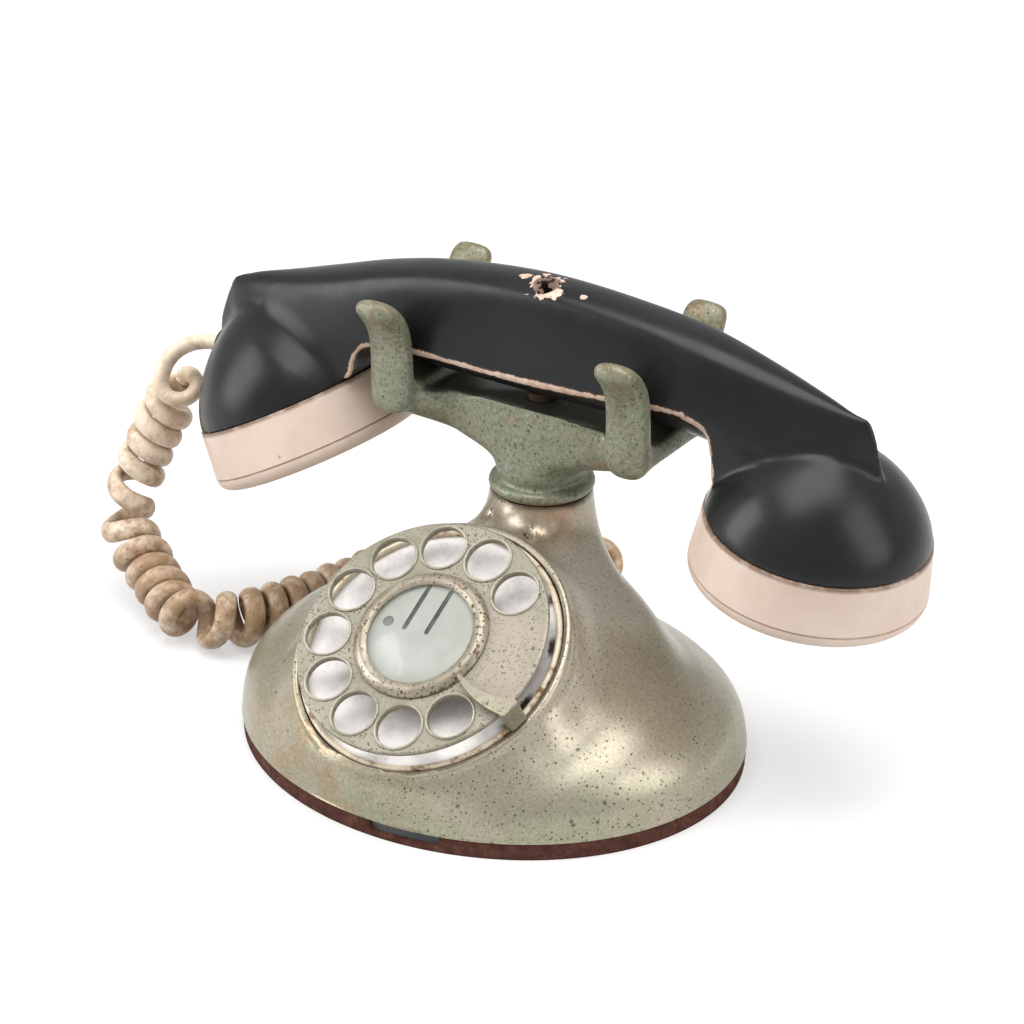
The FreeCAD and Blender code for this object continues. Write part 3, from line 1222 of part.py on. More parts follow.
def web(outline, top, end):
    """Slab between the handle's edges that closes the inner side of a cup down to its rim."""
    away = math.copysign(WEB_DEPTH, end[0])
    closing = [(outline[-1][0] + away, outline[-1][1] - away * math.tan(math.radians(end[2]))),
               (outline[1][0] + away, top)]
    points = [V(x, NECK_Y - WEB_HALF, z) for x, z in outline + closing]
    return Part.Face(Part.makePolygon(points + [points[0]])).extrude(V(0, 2 * WEB_HALF, 0))


def fin(outline):
    points = [V(x, NECK_Y - FIN_HALF, z) for x, z in outline]
    return Part.Face(Part.makePolygon(points + [points[0]])).extrude(V(0, 2 * FIN_HALF, 0))


def make_handset_handle():
    handle = at(Part.makeLoft([handle_section(*row) for row in HANDLE], True, False), 0, NECK_Y)
    webs = [web(TRANSMITTER_WEB, WEB_TOPS[0], TRANSMITTER), web(RECEIVER_WEB, WEB_TOPS[1], RECEIVER)]
    webs += [fin(TRANSMITTER_FIN), fin(RECEIVER_FIN)]
    domes = [on_cup(dome(DOME_R, TRANSMITTER_DOME_H), TRANSMITTER),
             on_cup(dome(DOME_R, RECEIVER_DOME_H), RECEIVER)]
    inner_r = DOME_R - DOME_WALL
    hollows = [on_cup(dome(inner_r, TRANSMITTER_DOME_H - DOME_WALL), TRANSMITTER),
               on_cup(dome(inner_r, RECEIVER_DOME_H - DOME_WALL), RECEIVER)]
    thread = disc(inner_r, 0, CAP_SPIGOT_H + MOVE_GAP)
    hollows += [on_cup(thread, TRANSMITTER), on_cup(thread, RECEIVER)]
    top = max(row[1] for row in HANDLE)
    hole = disc(WORN_HOLE_R, top - WORN_HOLE_DEPTH, top + 1, *WORN_HOLE)
    duct = Part.makeCylinder(DUCT_R, 2 * DUCT_HALF, V(-DUCT_HALF, NECK_Y, DUCT_Z), V(1, 0, 0))
    seat_x = EXIT_X + CORD_BUSH_RIM
    bush = Part.makeCylinder(CORD_BUSH_R, CORD_BUSH_LENGTH + 10, V(seat_x, NECK_Y, EXIT_Z), V(1, 0, 0))
    rim = Part.makeCylinder(CORD_BUSH_RIM_R, CORD_BUSH_LENGTH, V(seat_x, NECK_Y, EXIT_Z), V(-1, 0, 0))
    return handle.fuse(domes + webs).cut(hollows + [hole, duct, bush, rim])


def cap_outline(radius):
    """Outside of a screw-on cap from its rim down to its face, as edges."""
    groove = CAP_GROOVE
    low_r = radius + CAP_FLARE
    groove_z = -CAP_GROOVE_H
    corner_z = CAP_EDGE_R - CAP_H
    turn = CAP_EDGE_R * (1 - math.sqrt(0.5))
    face_r = low_r - CAP_EDGE_R
    points = [(radius, 0, 0), (low_r, 0, groove_z + groove / 2), (low_r - groove, 0, groove_z),
              (low_r, 0, groove_z - groove / 2), (low_r, 0, min(corner_z, groove_z - groove / 2))]
    edges = [line(points[k], points[k + 1]) for k in range(3)]
    edges.append(arc(points[3], (low_r - turn, 0, turn - CAP_H), (face_r, 0, -CAP_H)))
    return edges, face_r


def make_cap(end):
    edges, face_r = cap_outline(CAP_R)
    spigot_r = DOME_R - DOME_WALL - CAP_SPIGOT_GAP
    inner = [(face_r, -CAP_H), (0, -CAP_H), (0, CAP_WALL - CAP_H), (CAP_BORE_R, CAP_WALL - CAP_H),
             (CAP_BORE_R, CAP_SPIGOT_H), (spigot_r, CAP_SPIGOT_H), (spigot_r, 0), (CAP_R, 0)]
    edges += [line((inner[k][0], 0, inner[k][1]), (inner[k + 1][0], 0, inner[k + 1][1]))
              for k in range(len(inner) - 1)]
    holes = []
    for circle_r, count in SOUND_RINGS:
        for k in range(count):
            x, y = polar(circle_r, 360 * k / count)
            holes.append(disc(SOUND_HOLE_R, -CAP_H - 1, CAP_WALL - CAP_H + 1, x, y))
    return on_cup(turned_face(edges).cut(holes), end)


def make_capsule(end):
    low = CAP_WALL - CAP_H + SPIGOT_GAP
    high = low + CAPSULE_H
    capsule = turned([(0, low), (CAPSULE_R, low), (CAPSULE_R, high - CAPSULE_STEP),
                      (CAPSULE_STEP_R, high - CAPSULE_STEP), (CAPSULE_STEP_R, high), (0, high)])
    return on_cup(capsule, end)


def make_contacts(end):
    low = CAP_WALL - CAP_H + CAPSULE_H + 2 * SPIGOT_GAP
    high = low + CONTACT_BLOCK_H
    half = CONTACT_STRIP / 2
    strip = box(-CONTACT_REACH, CONTACT_REACH, -half, half, high - CONTACT_STRIP / 3, high)
    return on_cup(disc(CONTACT_BLOCK_R, low, high).fuse(strip), end)


def make_cord_bush():
    body = Part.makeCylinder(CORD_BUSH_R, CORD_BUSH_LENGTH, V(EXIT_X, NECK_Y, EXIT_Z), V(1, 0, 0))
    rim = Part.makeCylinder(CORD_BUSH_RIM_R, CORD_BUSH_RIM, V(EXIT_X, NECK_Y, EXIT_Z), V(1, 0, 0))
    return body.fuse(rim)


# Curly cord: a left-hand coil wound round a curved axis

def cord_axis():
    """Sampled axis: distance, point, tangent and a side direction that doesn't twist."""
    curve = Part.BSplineCurve()
    curve.buildFromPoles([V(*pole) for pole in CORD_ROUTE], False, 2)
    first, last = curve.FirstParameter, curve.LastParameter
    params = [first + (last - first) * k / AXIS_STEPS for k in range(AXIS_STEPS + 1)]
    points = [curve.value(u) for u in params]
    tangents = [V(*curve.tangent(u)[0]) for u in params]
    side = V(0, 0, 1).cross(tangents[0]).normalize()
    sides, distances = [side], [0.0]
    for k in range(AXIS_STEPS):
        step = points[k + 1] - points[k]
        size = step.dot(step)
        side_mirror = side - step * (2 / size * step.dot(side))
        tangent_mirror = tangents[k] - step * (2 / size * step.dot(tangents[k]))
        back = tangents[k + 1] - tangent_mirror
        side = side_mirror - back * (2 / back.dot(back) * back.dot(side_mirror))
        sides.append(side)
        distances.append(distances[-1] + step.Length)
    return distances, points, tangents, sides


def axis_bends(distances, tangents):
    """Curvature of the axis, averaged over a short run."""
    bends = []
    last = len(distances) - 1
    for k in range(last + 1):
        low, high = max(k - BEND_WINDOW, 0), min(k + BEND_WINDOW, last)
        bends.append(tangents[low].getAngle(tangents[high]) / (distances[high] - distances[low]))
    return bends


def coil_angles(distances, bends):
    """Turns of the coil summed along the axis, stretched to end at the wanted angle."""
    angles = [0.0]
    for k in range(1, len(distances)):
        middle = (distances[k] + distances[k - 1]) / 2
        pitch = (WIRE_D + CURL_GAP) / (1 - CURL_R * bends[k])
        if LOOSE_FROM < middle < LOOSE_FROM + LOOSE_LENGTH:
            pitch *= LOOSE_PITCH
        angles.append(angles[-1] + 2 * math.pi * (distances[k] - distances[k - 1]) / pitch)
    wanted = math.radians(CURL_END)
    turns = math.floor((angles[-1] - wanted) / (2 * math.pi))
    share = (turns * 2 * math.pi + wanted) / angles[-1]
    return [angle * share for angle in angles]


def coil_nodes():
    """Points and directions along the coil, one every half turn."""
    distances, points, tangents, sides = cord_axis()
    angles = coil_angles(distances, axis_bends(distances, tangents))
    start = math.radians(CURL_START)
    count = max(int(round(angles[-1] / math.pi)), 1)
    nodes = []
    k = 0
    for n in range(count + 1):
        angle = angles[-1] * n / count
        while k < len(angles) - 2 and angles[k + 1] < angle:
            k += 1
        share = (angle - angles[k]) / (angles[k + 1] - angles[k])
        point = points[k] + (points[k + 1] - points[k]) * share
        tangent = (tangents[k] + (tangents[k + 1] - tangents[k]) * share).normalize()
        side = sides[k] + (sides[k + 1] - sides[k]) * share
        side = (side - tangent * side.dot(tangent)).normalize()
        other = tangent.cross(side)
        rate = (angles[k + 1] - angles[k]) / (distances[k + 1] - distances[k])
        bend = (tangents[k + 1] - tangents[k]) * (1 / (distances[k + 1] - distances[k]))
        turn = start - angle
        outward = side * math.cos(turn) + other * math.sin(turn)
        across = side * math.sin(turn) - other * math.cos(turn)
        run = tangent * (1 - CURL_R * bend.dot(outward)) + across * (CURL_R * rate)
        nodes.append((point + outward * CURL_R, run.normalize()))
    return nodes


def arc_or_line(start, direction, end):
    """Arc that leaves the start along the direction, and its radius."""
    chord = end - start
    along = V(chord).normalize()
    lean = direction - along * direction.dot(along)
    if lean.Length < 1e-4:
        return Part.makeLine(start, end), math.inf
    half = direction.getAngle(chord)
    middle = (start + end) * 0.5 + lean.normalize() * (chord.Length / 2 * math.tan(half / 2))
    return middle, chord.Length / (2 * math.sin(half))


def biarc(start, start_run, end, end_run):
    """Two arcs that meet smoothly, as edges, with the smaller of their radii."""
    chord = end - start
    together = start_run + end_run
    square = 2 * (1 - start_run.dot(end_run))
    pull = chord.dot(together)
    if square < 1e-6:
        reach = chord.dot(chord) / (4 * chord.dot(end_run))
    else:
        reach = (math.sqrt(pull * pull + square * chord.dot(chord)) - pull) / square
    joint = (start + end + (start_run - end_run) * reach) * 0.5
    first, first_r = arc_or_line(start, start_run, joint)
    second, second_r = arc_or_line(end, end_run * -1, joint)
    if first_r < math.inf:
        first = Part.Arc(start, first, joint).toShape()
    if second_r < math.inf:
        second = Part.Arc(joint, second, end).toShape()
    else:
        second = Part.makeLine(joint, end)
    return [first, second], min(first_r, second_r)


def cord_path():
    """Edges from the handset to the base, and the tightest radius among them."""
    start = V(EXIT_X - CORD_GAP, NECK_Y, EXIT_Z)
    lead = start + V(-WIRE_D, 0, 0)
    end = V(INLET_X, INLET_Y + GROMMET_HEAD + CORD_GAP, INLET_Z)
    tail = end + V(0, WIRE_D, 0)
    stops = [(lead, V(-1, 0, 0))] + coil_nodes() + [(tail, V(0, -1, 0))]
    edges, radii = [Part.makeLine(start, lead)], []
    for (here, run), (after, after_run) in zip(stops, stops[1:]):
        pair, radius = biarc(here, run, after, after_run)
        edges += pair
        radii.append(radius)
    edges.append(Part.makeLine(tail, end))
    return edges, radii


def least_gap(edges):
    """Smallest distance between two runs of the cord that aren't next to each other."""
    samples = []
    travelled = 0.0
    for edge in edges:
        count = max(int(edge.Length), 1)
        low, high = edge.ParameterRange
        for k in range(count):
            samples.append((travelled + edge.Length * k / count, edge.valueAt(low + (high - low) * k / count)))
        travelled += edge.Length
    cells = {}
    size = 2 * WIRE_D
    for place, point in samples:
        cells.setdefault((int(point.x // size), int(point.y // size), int(point.z // size)), []).append(
            (place, point))
    least = math.inf
    for (i, j, k), members in cells.items():
        near = [item for a in (0, 1) for b in (-1, 0, 1) for c in (-1, 0, 1)
                for item in cells.get((i + a, j + b, k + c), [])]
        for place, point in members:
            for other_place, other in near:
                if abs(place - other_place) > 3 * WIRE_D:
                    least = min(least, (point - other).Length)
    return least - WIRE_D, travelled


def make_handset_cord():
    edges, radii = cord_path()
    gap, run = least_gap(edges)
    print("cord: tightest radius %.2f, least gap %.2f, length %.0f" % (min(radii), gap, run))
    start = edges[0].Vertexes[0].Point
    profile = Part.Wire([Part.makeCircle(WIRE_D / 2, start, V(-1, 0, 0))])
    return Part.Wire(edges).makePipeShell([profile], True, False)


ON_DIAL = {
    "dial_cup": make_dial_cup,
    "number_plate": make_number_plate,
    "trim_ring": make_trim_ring,
    "finger_stop": make_finger_stop,
    "finger_wheel": make_finger_wheel,
    "wheel_screw": make_wheel_screw,
    "dial_card": make_dial_card,
    "card_ring": make_card_ring,
    "card_window": make_card_window,
    "dial_shaft": make_dial_shaft,
    "shaft_bush": make_shaft_bush,
    "mainspring": make_mainspring,
    "dial_frame": make_dial_frame,
    "frame_screws": make_frame_screws,
    "dial_screws": make_dial_screws,
    "main_gear": make_main_gear,
    "pulse_arbor": make_pulse_arbor,
    "fast_gear": make_fast_gear,
    "pulse_cam": make_pulse_cam,
    "pulse_contacts": make_pulse_contacts,
    "governor_arbor": make_governor_arbor,
    "governor_weights": make_governor_weights,
    "governor_cup": make_governor_cup,
    "dial_bridge": make_dial_bridge,
    "bridge_screws": make_bridge_screws,
}

IN_PLACE = {
    "base_shell": make_base_shell,
    "base_plate": make_base_plate,
    "felt_pad": make_felt_pad,
    "base_screws": make_base_screws,
    "terminal_strip": make_terminal_strip,
    "terminal_screws": make_terminal_screws,
    "handset_cord_grommet": make_handset_cord_grommet,
    "line_cord_inlet": make_line_cord_inlet,
    "cradle": make_cradle,
    "cradle_nut": make_cradle_nut,
    "hook_plunger": make_hook_plunger,
    "plunger_spring": make_plunger_spring,
    "hook_lever": make_hook_lever,
    "lever_pin": make_lever_pin,
    "switch_bracket": make_switch_bracket,
    "hook_contacts": make_hook_contacts,
    "handset_handle": make_handset_handle,
    "cord_bush": make_cord_bush,
    "handset_cord": make_handset_cord,
}

AT_CUPS = {"transmitter": TRANSMITTER, "receiver": RECEIVER}

os.makedirs("parts", exist_ok=True)
pieces = {node: on_dial(make()) for node, make in ON_DIAL.items()}
pieces.update({node: make() for node, make in IN_PLACE.items()})
for name, end in AT_CUPS.items():
    pieces[name + "_cap"] = make_cap(end)
    pieces[name + "_capsule"] = make_capsule(end)
    pieces[name + "_contacts"] = make_contacts(end)
for node, shape in pieces.items():
    shape.exportStep("parts/" + node + ".step")
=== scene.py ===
import math

import bmesh
import bpy
import numpy as np
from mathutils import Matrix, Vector, kdtree, noise


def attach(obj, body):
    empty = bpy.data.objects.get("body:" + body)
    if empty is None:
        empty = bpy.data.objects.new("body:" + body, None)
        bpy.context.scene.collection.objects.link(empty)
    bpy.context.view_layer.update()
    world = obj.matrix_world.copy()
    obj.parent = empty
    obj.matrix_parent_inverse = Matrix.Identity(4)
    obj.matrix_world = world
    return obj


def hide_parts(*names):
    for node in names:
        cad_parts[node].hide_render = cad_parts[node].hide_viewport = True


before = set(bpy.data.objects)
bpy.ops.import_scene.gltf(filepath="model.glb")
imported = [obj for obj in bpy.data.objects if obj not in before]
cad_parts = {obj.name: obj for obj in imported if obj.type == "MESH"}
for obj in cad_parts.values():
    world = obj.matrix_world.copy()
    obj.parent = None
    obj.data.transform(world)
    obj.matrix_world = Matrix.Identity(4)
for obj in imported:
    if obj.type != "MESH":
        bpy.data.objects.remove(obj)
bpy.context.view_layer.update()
scene = bpy.context.scene

# The table top, the light and the view.
# A plain white sweep, one broad lamp above and two soft ones at the sides, and a long lens that looks
# down on the telephone from its receiver side.
scene.view_settings.view_transform = "Standard"

lens = bpy.data.cameras.new("studio_camera")
lens.lens = 109.68
lens.sensor_width = 36.0
studio_camera = bpy.data.objects.new("studio_camera", lens)
studio_camera.location = (0.44880, -0.67098, 0.48155)
studio_camera.rotation_euler = (math.radians(63.19624), 0.0, math.radians(33.35468))
scene.collection.objects.link(studio_camera)
scene.camera = studio_camera


def softbox(name, place, aim, width, height, watts):
    lamp = bpy.data.lights.new(name, "AREA")
    lamp.shape = "RECTANGLE"
    lamp.size, lamp.size_y, lamp.energy = width, height, watts
    holder = bpy.data.objects.new(name, lamp)
    holder.location = place
    holder.rotation_euler = (Vector(aim) - Vector(place)).to_track_quat("-Z", "Y").to_euler()
    scene.collection.objects.link(holder)


softbox("top_softbox", (0.05, -0.05, 1.15), (0.0, 0.0, 0.05), 1.0, 0.7, 10.0)
softbox("left_softbox", (-0.85, -0.55, 0.55), (0.0, 0.0, 0.07), 0.5, 0.9, 7.0)
softbox("right_softbox", (0.95, 0.05, 0.60), (0.0, 0.0, 0.07), 0.5, 0.9, 4.0)

room = bpy.data.worlds.new("room")
room.use_nodes = True
room.node_tree.nodes["Background"].inputs["Color"].default_value = (1.0, 1.0, 1.0, 1.0)
room.node_tree.nodes["Background"].inputs["Strength"].default_value = 0.62
scene.world = room


def fresh_material(name):
    """An empty procedural material with its main shader in place."""
    material = bpy.data.materials.new(name)
    material.use_nodes = True
    tree = material.node_tree
    return material, tree, tree.nodes["Principled BSDF"]


def node(tree, kind, settings=None, **plugs):
    """One node; plugs hold constants or another node's output."""
    made = tree.nodes.new(kind)
    for key, value in (settings or {}).items():
        setattr(made, key, value)
    for key, value in plugs.items():
        label = int(key[1:]) if key[0] == "_" else key.replace("_", " ")
        socket = made.inputs[label]
        if isinstance(value, bpy.types.NodeSocket):
            tree.links.new(value, socket)
        else:
            socket.default_value = value
    return made


def sweep_material():
    material, tree, shader = fresh_material("white_sweep")
    shader.inputs["Base Color"].default_value = (0.92, 0.92, 0.92, 1.0)
    shader.inputs["Roughness"].default_value = 0.9
    shader.inputs["Specular IOR Level"].default_value = 0.1
    path = tree.nodes.new("ShaderNodeLightPath")
    seen = path.outputs["Is Camera Ray"]
    for kind in ("Is Glossy Ray", "Is Transmission Ray"):
        more = node(tree, "ShaderNodeMath", {"operation": "MAXIMUM"}, _0=seen, _1=path.outputs[kind])
        seen = more.outputs[0]
    glow = tree.nodes.new("ShaderNodeEmission")
    glow.inputs["Color"].default_value = (1.0, 1.0, 1.0, 1.0)
    tree.links.new(seen, glow.inputs["Strength"])
    both = tree.nodes.new("ShaderNodeMixShader")
    both.inputs[0].default_value = 0.45
    tree.links.new(shader.outputs[0], both.inputs[1])
    tree.links.new(glow.outputs[0], both.inputs[2])
    tree.links.new(both.outputs[0], tree.nodes["Material Output"].inputs["Surface"])
    return material


floor_mesh = bpy.data.meshes.new("floor")
floor_mesh.from_pydata([(-6, -6, 0), (6, -6, 0), (6, 6, 0), (-6, 6, 0)], [], [(0, 1, 2, 3)])
floor = bpy.data.objects.new("floor", floor_mesh)
scene.collection.objects.link(floor)
floor_mesh.materials.append(sweep_material())


# Curly cord: a beige vinyl lead wound into a left-hand spring of thirty-odd curls.
# It leaves the rubber bush in the transmitter end, kinks over once, drops to the table and runs behind
# the base to the grommet in the back. Its section is slightly flattened where it was wound hot.
CORD_WIDE = 6.7
CORD_THICK = 4.9
CURL_RADIUS = 6.4
CURL_PITCH = 7.05
# Where along its axis the cord kinks over, and how long the kink is
KINK_AT = 46.5
KINK_LONG = 5.0
AXIS_POINTS = 4200
LEAD_POINTS = 60
SECTION_SIDES = 14
CORD_EXIT = (-118.9, 27.0, 88.3)
CORD_INLET = (-14.0, 65.6, 24.0)
CORD_ROUTE = [(-132, 19, 75), (-135, 25, 71), (-139.5, 24, 64), (-143, 21, 55), (-146, 18, 45),
              (-149.5, 14, 34), (-149.5, 10.5, 25), (-141, 7, 17), (-128, 1, 12), (-116, -6.5, 9.9),
              (-103, -9, 9.9), (-94.5, 0, 9.9), (-88.8, 12, 9.9), (-83.2, 28, 9.9), (-77.5, 44, 9.9),
              (-73, 60, 9.9), (-63, 76, 9.9), (-49, 89, 9.9), (-32, 95, 9.9), (-21, 93, 10.2),
              (-17, 86, 14.0)]


def new_piece(name, points, faces, material, smooth=True):
    """A mesh piece from points in millimetres of the telephone's frame."""
    mesh = bpy.data.meshes.new(name)
    mesh.from_pydata([tuple(float(c) * 0.001 for c in p) for p in points], [], faces)
    mesh.materials.append(material)
    mesh.validate()
    if smooth:
        mesh.shade_smooth()
    piece = bpy.data.objects.new(name, mesh)
    scene.collection.objects.link(piece)
    return piece


def grid_faces(rings, around):
    """Quads between neighbouring rings of equally many points."""
    faces = []
    for i in range(rings - 1):
        for j in range(around):
            k = (j + 1) % around
            faces.append((i * around + j, i * around + k, (i + 1) * around + k, (i + 1) * around + j))
    return faces


def closed_faces(rings, around):
    """The same quads, with a face over each end."""
    last = (rings - 1) * around
    return grid_faces(rings, around) + [tuple(range(around))[::-1], tuple(last + j for j in range(around))]


def route_points(name, controls, count):
    """Evenly spaced points, in millimetres, along a smooth spline with the given control points."""
    curve = bpy.data.curves.new(name, "CURVE")
    curve.dimensions = "3D"
    spline = curve.splines.new("NURBS")
    spline.points.add(len(controls) - 1)
    for point, place in zip(spline.points, controls):
        point.co = (place[0] * 0.001, place[1] * 0.001, place[2] * 0.001, 1.0)
    spline.order_u = 3
    spline.use_endpoint_u = True
    spline.resolution_u = 40
    holder = bpy.data.objects.new(name, curve)
    mesh = bpy.data.meshes.new_from_object(holder)
    raw = np.array([v.co for v in mesh.vertices]) * 1000.0
    bpy.data.objects.remove(holder)
    bpy.data.curves.remove(curve)
    bpy.data.meshes.remove(mesh)
    return respaced(raw, count)


def respaced(raw, count):
    steps = np.linalg.norm(np.diff(raw, axis=0), axis=1)
    raw = raw[np.r_[True, steps > 1e-6]]
    along = np.r_[0.0, np.cumsum(np.linalg.norm(np.diff(raw, axis=0), axis=1))]
    wanted = np.linspace(0.0, along[-1], count)
    return np.stack([np.interp(wanted, along, raw[:, k]) for k in range(3)], axis=1)


def carried_sides(points):
    """Tangents along a line, with side directions that are carried along it without twisting."""
    tangents = np.gradient(points, axis=0)
    tangents /= np.linalg.norm(tangents, axis=1)[:, None]
    side = np.cross((0.0, 0.0, 1.0), tangents[0])
    side /= np.linalg.norm(side)
    sides = [side]
    for after in tangents[1:]:
        side = side - after * np.dot(side, after)
        side = side / np.linalg.norm(side)
        sides.append(side)
    return tangents, np.array(sides)


def curl_line(axis_points):
    """The coil's centreline round an evenly spaced axis, with the direction across its flattened section."""
    tangents, sides = carried_sides(axis_points)
    others = np.cross(tangents, sides)
    steps = np.linalg.norm(np.diff(axis_points, axis=0), axis=1)
    along = np.r_[0.0, np.cumsum(steps)]
    bend = np.linalg.norm(np.gradient(tangents, axis=0), axis=1) / np.gradient(along)
    bend = np.convolve(np.pad(bend, 20, mode="edge"), np.ones(41) / 41, mode="valid")
    pitch = CURL_PITCH / (1 - CURL_RADIUS * bend)
    kink = np.exp(-((along - KINK_AT) / KINK_LONG) ** 2)
    pitch *= 1 + 0.75 * kink
    turns = np.r_[0.0, np.cumsum(steps / ((pitch[1:] + pitch[:-1]) / 2))]
    turns *= round(turns[-1]) / turns[-1]
    angle = math.radians(10.0) - 2 * math.pi * turns
    swell = 1 + 0.05 * np.sin(along * 0.11 + 0.6) + 0.04 * np.sin(along * 0.37)
    swell *= 0.74 + 0.26 * np.clip(along / 15.0, 0.0, 1.0)
    radius = CURL_RADIUS * swell
    outward = sides * np.cos(angle)[:, None] + others * np.sin(angle)[:, None]
    return axis_points + outward * radius[:, None], tangents


def smooth_lead(start, away, end, towards, reach_a, reach_b, count):
    """Bezier run that leaves one point along a direction and comes into another along a second one."""
    a, d = np.array(start, float), np.array(end, float)
    b, c = a + np.array(away, float) * reach_a, d - np.array(towards, float) * reach_b
    t = np.linspace(0.0, 1.0, count)[:, None]
    return a * (1 - t) ** 3 + 3 * b * t * (1 - t) ** 2 + 3 * c * t ** 2 * (1 - t) + d * t ** 3


def cord_centreline():
    axis = route_points("cord_route", CORD_ROUTE, AXIS_POINTS)
    coil, tangents = curl_line(axis)
    leave = coil[3] - coil[0]
    leave /= np.linalg.norm(leave)
    arrive = coil[-1] - coil[-4]
    arrive /= np.linalg.norm(arrive)
    first = smooth_lead(CORD_EXIT, (-1, 0, 0), coil[0], leave, 11.0, 10.0, LEAD_POINTS)
    last = smooth_lead(coil[-1], arrive, CORD_INLET, (0, -1, 0), 9.0, 11.0, LEAD_POINTS)
    ahead = np.repeat(tangents[:1], LEAD_POINTS - 1, axis=0)
    behind = np.repeat(tangents[-1:], LEAD_POINTS - 1, axis=0)
    line = np.vstack([first[:-1], coil, last[1:]])
    wide = np.vstack([ahead, tangents, behind])
    return line, wide


def tube(line, wide_way, wide, thick, around):
    """Rings of a flattened round section along a line."""
    tangents, _ = carried_sides(line)
    across = wide_way - tangents * np.sum(wide_way * tangents, axis=1)[:, None]
    across /= np.linalg.norm(across, axis=1)[:, None]
    up = np.cross(tangents, across)
    points = []
    for j in range(around):
        turn = 2 * math.pi * j / around
        points.append(line + across * (wide / 2 * math.cos(turn)) + up * (thick / 2 * math.sin(turn)))
    return np.stack(points, axis=1).reshape(-1, 3)


def surface(name):
    """A fresh material with the place on the object that its patterns follow."""
    material, tree, shader = fresh_material(name)
    return material, shader, tree.nodes.new("ShaderNodeTexCoord").outputs["Object"]


def math_node(operation, first, second=0.0):
    return node(first.id_data, "ShaderNodeMath", {"operation": operation}, _0=first, _1=second).outputs[0]


def between(value, low, high, start=0.0, end=1.0):
    """Value moved evenly from one range to another, and held at its ends."""
    return node(value.id_data, "ShaderNodeMapRange", None, _0=value, _1=low, _2=high, _3=start,
                _4=end).outputs[0]


def noise_at(place, scale, detail=4.0, rough=0.6):
    return node(place.id_data, "ShaderNodeTexNoise", None, Vector=place, Scale=scale, Detail=detail,
                Roughness=rough).outputs[0]


def times(first, second):
    return math_node("MULTIPLY", first, second)


def plus(first, second):
    return math_node("ADD", first, second)


def minus(first, second):
    return math_node("SUBTRACT", first, second)


def most(first, second):
    return math_node("MAXIMUM", first, second)


def below(first, second):
    return math_node("LESS_THAN", first, second)


def split(place):
    """The three parts of a place."""
    return node(place.id_data, "ShaderNodeSeparateXYZ", None, _0=place).outputs


def specks(place, scale, size, share):
    """Small round spots; share is how many of the cells hold one."""
    cells = node(place.id_data, "ShaderNodeTexVoronoi", None, Vector=place, Scale=scale)
    shape = between(cells.outputs["Distance"], size, size + 0.07, 1.0, 0.0)
    drawn = node(place.id_data, "ShaderNodeSeparateColor", None, _0=cells.outputs["Color"]).outputs[0]
    return times(shape, below(drawn, share))


def vinyl():
    """Beige vinyl: yellowed, with brown dirt in the curls, browner and darker towards the bottom, and dark
    specks of dirt.
    """
    material, shader, place = surface("beige_cord_vinyl")
    tree = material.node_tree
    grime_and_painted_shade = noise_at(place, 160.0, 6.0, 0.7)
    # The colour turns browner and darker towards the bottom of the cord.
    low = between(split(place)[2], 0.06, 0.015, 0.0, 0.20)
    tone = ramp(noise_at(place, 38.0, 5.0, 0.62),
                [(0.30, (0.65, 0.485, 0.345)), (0.52, (0.78, 0.64, 0.49)), (0.75, (0.845, 0.73, 0.595))])
    brown = ramp(plus(grime_and_painted_shade, low), [(0.50, (0, 0, 0)), (0.74, (1, 1, 1))])
    colour = tinted(tone, brown, (0.36, 0.23, 0.13))
    to_cell = node(tree, "ShaderNodeTexVoronoi", None, Vector=place, Scale=420.0).outputs[0]
    dots = ramp(to_cell, [(0.08, (1, 1, 1)), (0.16, (0, 0, 0))])
    colour = blend_colour(times(dots, brown), colour, (0.12, 0.07, 0.04, 1.0))
    plug(shader, "Base Color", colour)
    shader.inputs["Roughness"].default_value = 0.42
    shader.inputs["Subsurface Weight"].default_value = 0.08
    shader.inputs["Subsurface Scale"].default_value = 0.002
    bumps(shader, grime_and_painted_shade, 0.25, 0.0002)
    return material


def ramp(value, stops):
    """Colours that change with a value, from (place, colour) stops."""
    made = value.id_data.nodes.new("ShaderNodeValToRGB")
    while len(made.color_ramp.elements) < len(stops):
        made.color_ramp.elements.new(0.5)
    for element, (place, colour) in zip(made.color_ramp.elements, stops):
        element.position = place
        element.color = (*colour, 1.0)
    value.id_data.links.new(value, made.inputs[0])
    return made.outputs[0]


def blend_colour(share, first, second):
    """Mix of two colours, each a constant or a node's output."""
    made = node(share.id_data, "ShaderNodeMix", {"data_type": "RGBA"}, _0=share, _6=first, _7=second)
    return made.outputs[2]


def marked(colour, mask, strength, tone):
    """Colour with marks of a tone where the mask is, at the given strength."""
    return blend_colour(times(mask, strength), colour, (*tone, 1.0))


def tinted(colour, share, tone):
    """Colour moved towards a tone by a share."""
    return blend_colour(share, colour, (*tone, 1.0))


def plug(shader, name, value):
    """Feed one of a shader's sockets from a node."""
    shader.id_data.links.new(value, shader.inputs[name])


def bumps(shader, height, strength, distance):
    bump = node(height.id_data, "ShaderNodeBump", Strength=strength, Distance=distance, Height=height)
    plug(shader, "Normal", bump.outputs[0])


cord_line, cord_wide_way = cord_centreline()
cord_points = tube(cord_line, cord_wide_way, CORD_WIDE, CORD_THICK, SECTION_SIDES)
cord_faces = closed_faces(len(cord_line), SECTION_SIDES)
curly_cord = new_piece("curly_cord", cord_points, cord_faces, vinyl())
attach(curly_cord, "handset")
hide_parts("handset_cord")


